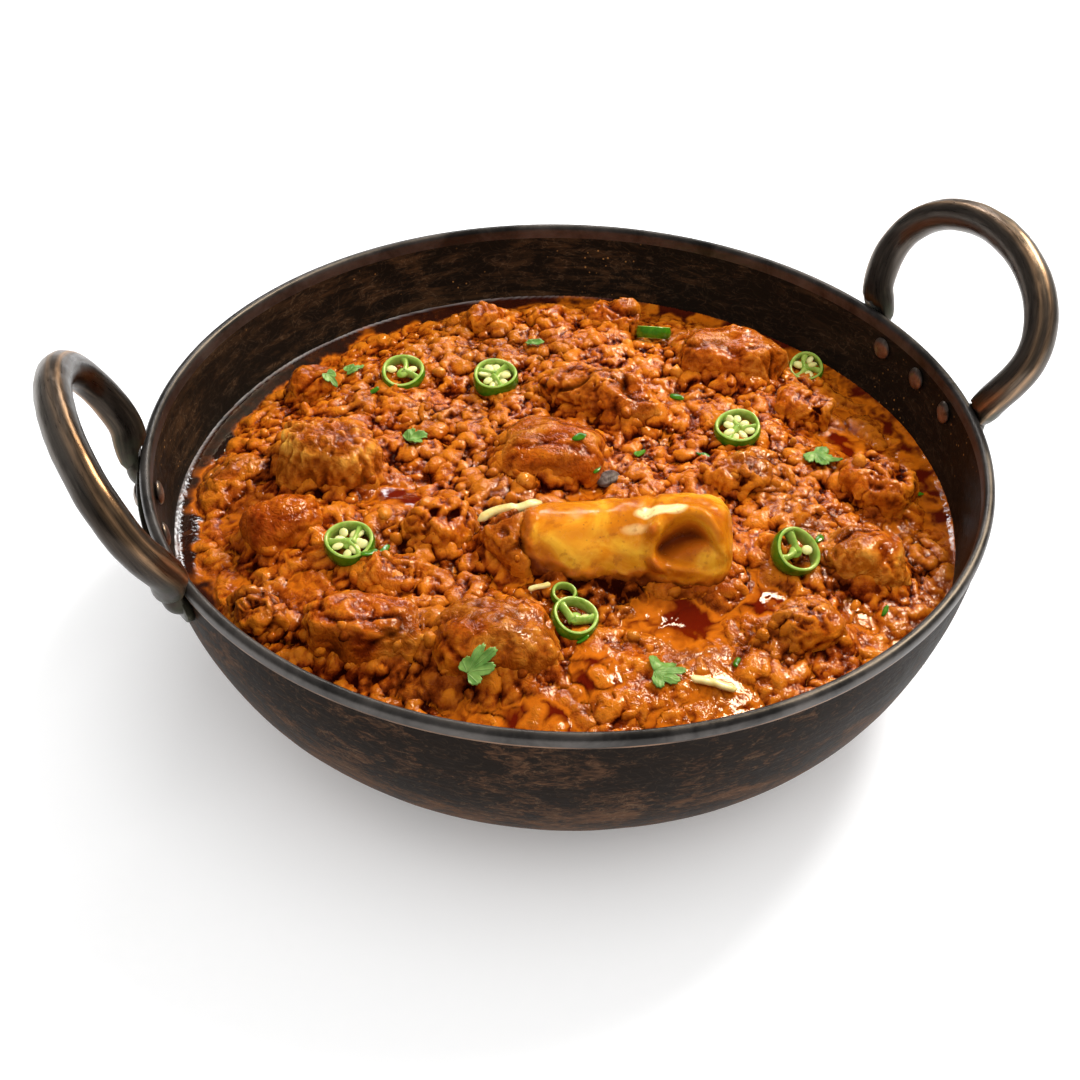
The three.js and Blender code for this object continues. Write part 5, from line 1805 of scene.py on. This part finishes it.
def make_shred(name, spec):
    at, yaw, length, half, bend = spec
    t = np.linspace(0, 1, 34)
    line = np.column_stack([(t - 0.5) * length, bend * np.sin(2 * np.pi * t), np.zeros(34)])
    line = draped(placed(line, at, yaw), 1.5, 0.3)
    side_way = np.cross(np.gradient(line, axis=0), (0, 0, 1))
    side_way /= np.linalg.norm(side_way, axis=1)[:, None]
    rings = []
    for q, s, share in zip(line, side_way, t):
        width = half * min(1, (math.sin(math.pi * min(max(share, 0.012), 0.988)) * 4) ** 0.6)
        ring = []
        for a in np.linspace(0, 2 * np.pi, 14, endpoint=False):
            ca, sa = math.cos(a), math.sin(a)
            square = (abs(ca) ** 3 + abs(sa) ** 3) ** (-1 / 3)
            ring.append(q + s * width * ca * square + np.array([0, 0, 0.62 * width * sa * square]))
        rings.append(ring)
    shred = outward(mesh_object(f"{name}_shred", *rings_mesh(rings), GINGER))
    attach(shred, "root")
    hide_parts(name)
    return shred


shreds = [make_shred(name, spec) for name, spec in GINGER_SHREDS.items()]
print("ginger shreds:", len(shreds))


# %% Husk
def husk_finish():
    husk = Finish("dark_cardamom_husk", Roughness=0.4, Specular_IOR_Level=0.3)
    ridges = husk.noise(150, 4, 0.6, 1.0, husk.stretched((3, 1, 1)))
    husk.link(husk.ramp(ridges, (0.35, (0.035, 0.02, 0.014)), (0.65, (0.14, 0.1, 0.08))), "Base Color")
    husk.link(husk.bump(ridges, 0.7, 0.0008), "Normal")
    return husk.material


HUSK = husk_finish()
HUSK_AT = (14, -4)


def make_husk():
    """A curled scrap of pod skin: a shallow ridged dome."""
    turn = np.linspace(0, 2 * np.pi, 40, endpoint=False)
    rings = []
    for a in np.linspace(0.12, np.pi - 0.12, 16):
        wide = math.sin(a) ** 0.8
        ridge = 1 + 0.07 * np.cos(7 * turn)
        rings.append(np.stack([np.full(40, -4.6 * math.cos(a)), 3.3 * wide * ridge * np.cos(turn),
                               1.9 * wide * ridge * np.sin(turn)], 1))
    points, faces = rings_mesh(rings)
    points = placed(points, HUSK_AT, 20)
    points[:, 2] += food_height(*HUSK_AT) + 1.2
    husk = outward(mesh_object("cardamom_husk_scrap", points, faces, HUSK))
    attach(husk, "root")
    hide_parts("cardamom_husk")
    return husk


husk = make_husk()
print("husk faces:", len(husk.data.polygons))

# %% [markdown]
# ## Scraps of green
# Small torn scraps of leaf and chilli skin lie between the large ones. They are too small to be solids
# of their own, so they are copies of one flat oval on listed places, bent by noise.

# %% Scatter the green scraps
GREEN_SCRAPS = [
    # x, y, half length, yaw in degrees
    (30, 6, 3.2, 30), (7, 5.5, 3.0, 10), (56, 32, 3.0, -60), (51.5, -2, 2.8, -30), (116.5, -38, 3.4, -35),
    (74, -90.5, 2.2, 40), (67, -58, 3.4, 60), (10, -3.5, 2.4, 50), (-48.5, 70.5, 2.4, 20),
    (-70, -19.5, 2.6, 40), (-75, -22, 3.0, 10), (-23.5, -76, 2.6, 20), (19, -96.5, 2.0, 60),
]


def scatter_scraps():
    at = [(x, y, food_height(x, y) + 0.5) for x, y, _, _ in GREEN_SCRAPS]
    sizes = [(half, half * 0.42, 0.55) for _, _, half, _ in GREEN_SCRAPS]
    yaws = [math.radians(yaw) for _, _, _, yaw in GREEN_SCRAPS]
    turns = [(0.25 * math.sin(i), 0.25 * math.cos(2 * i), yaw) for i, yaw in enumerate(yaws)]
    pattern = ball_pattern("scrap_pattern", SCRAP_ROUNDS)
    scraps = copies_of(pattern, "green_scraps", at, turns, sizes, CHILLI_SKIN)
    p = points_of(scraps)
    p += np.stack([0.9 * noise_at(p, 3.0, 201), 0.9 * noise_at(p, 3.0, 202), 0.5 * noise_at(p, 2.4, 203)], 1)
    move_points(scraps, p)
    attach(scraps, "root")
    return scraps


scraps = scatter_scraps()
print("green scraps:", len(GREEN_SCRAPS), "faces:", len(scraps.data.polygons))


# %% White paper finish
def paper_finish():
    paper = Finish("white_paper", Roughness=0.9, Specular_IOR_Level=0.2, Emission_Color=(1, 1, 1, 1),
                   Emission_Strength=0.2)
    paper.link(paper.ramp(paper.noise(300, 3), (0.3, 0.86), (0.7, 0.88)), "Base Color")
    return paper.material


floor.data.materials.append(paper_finish())
print("floor finish:", floor.data.materials[0].name)

# %% [markdown]
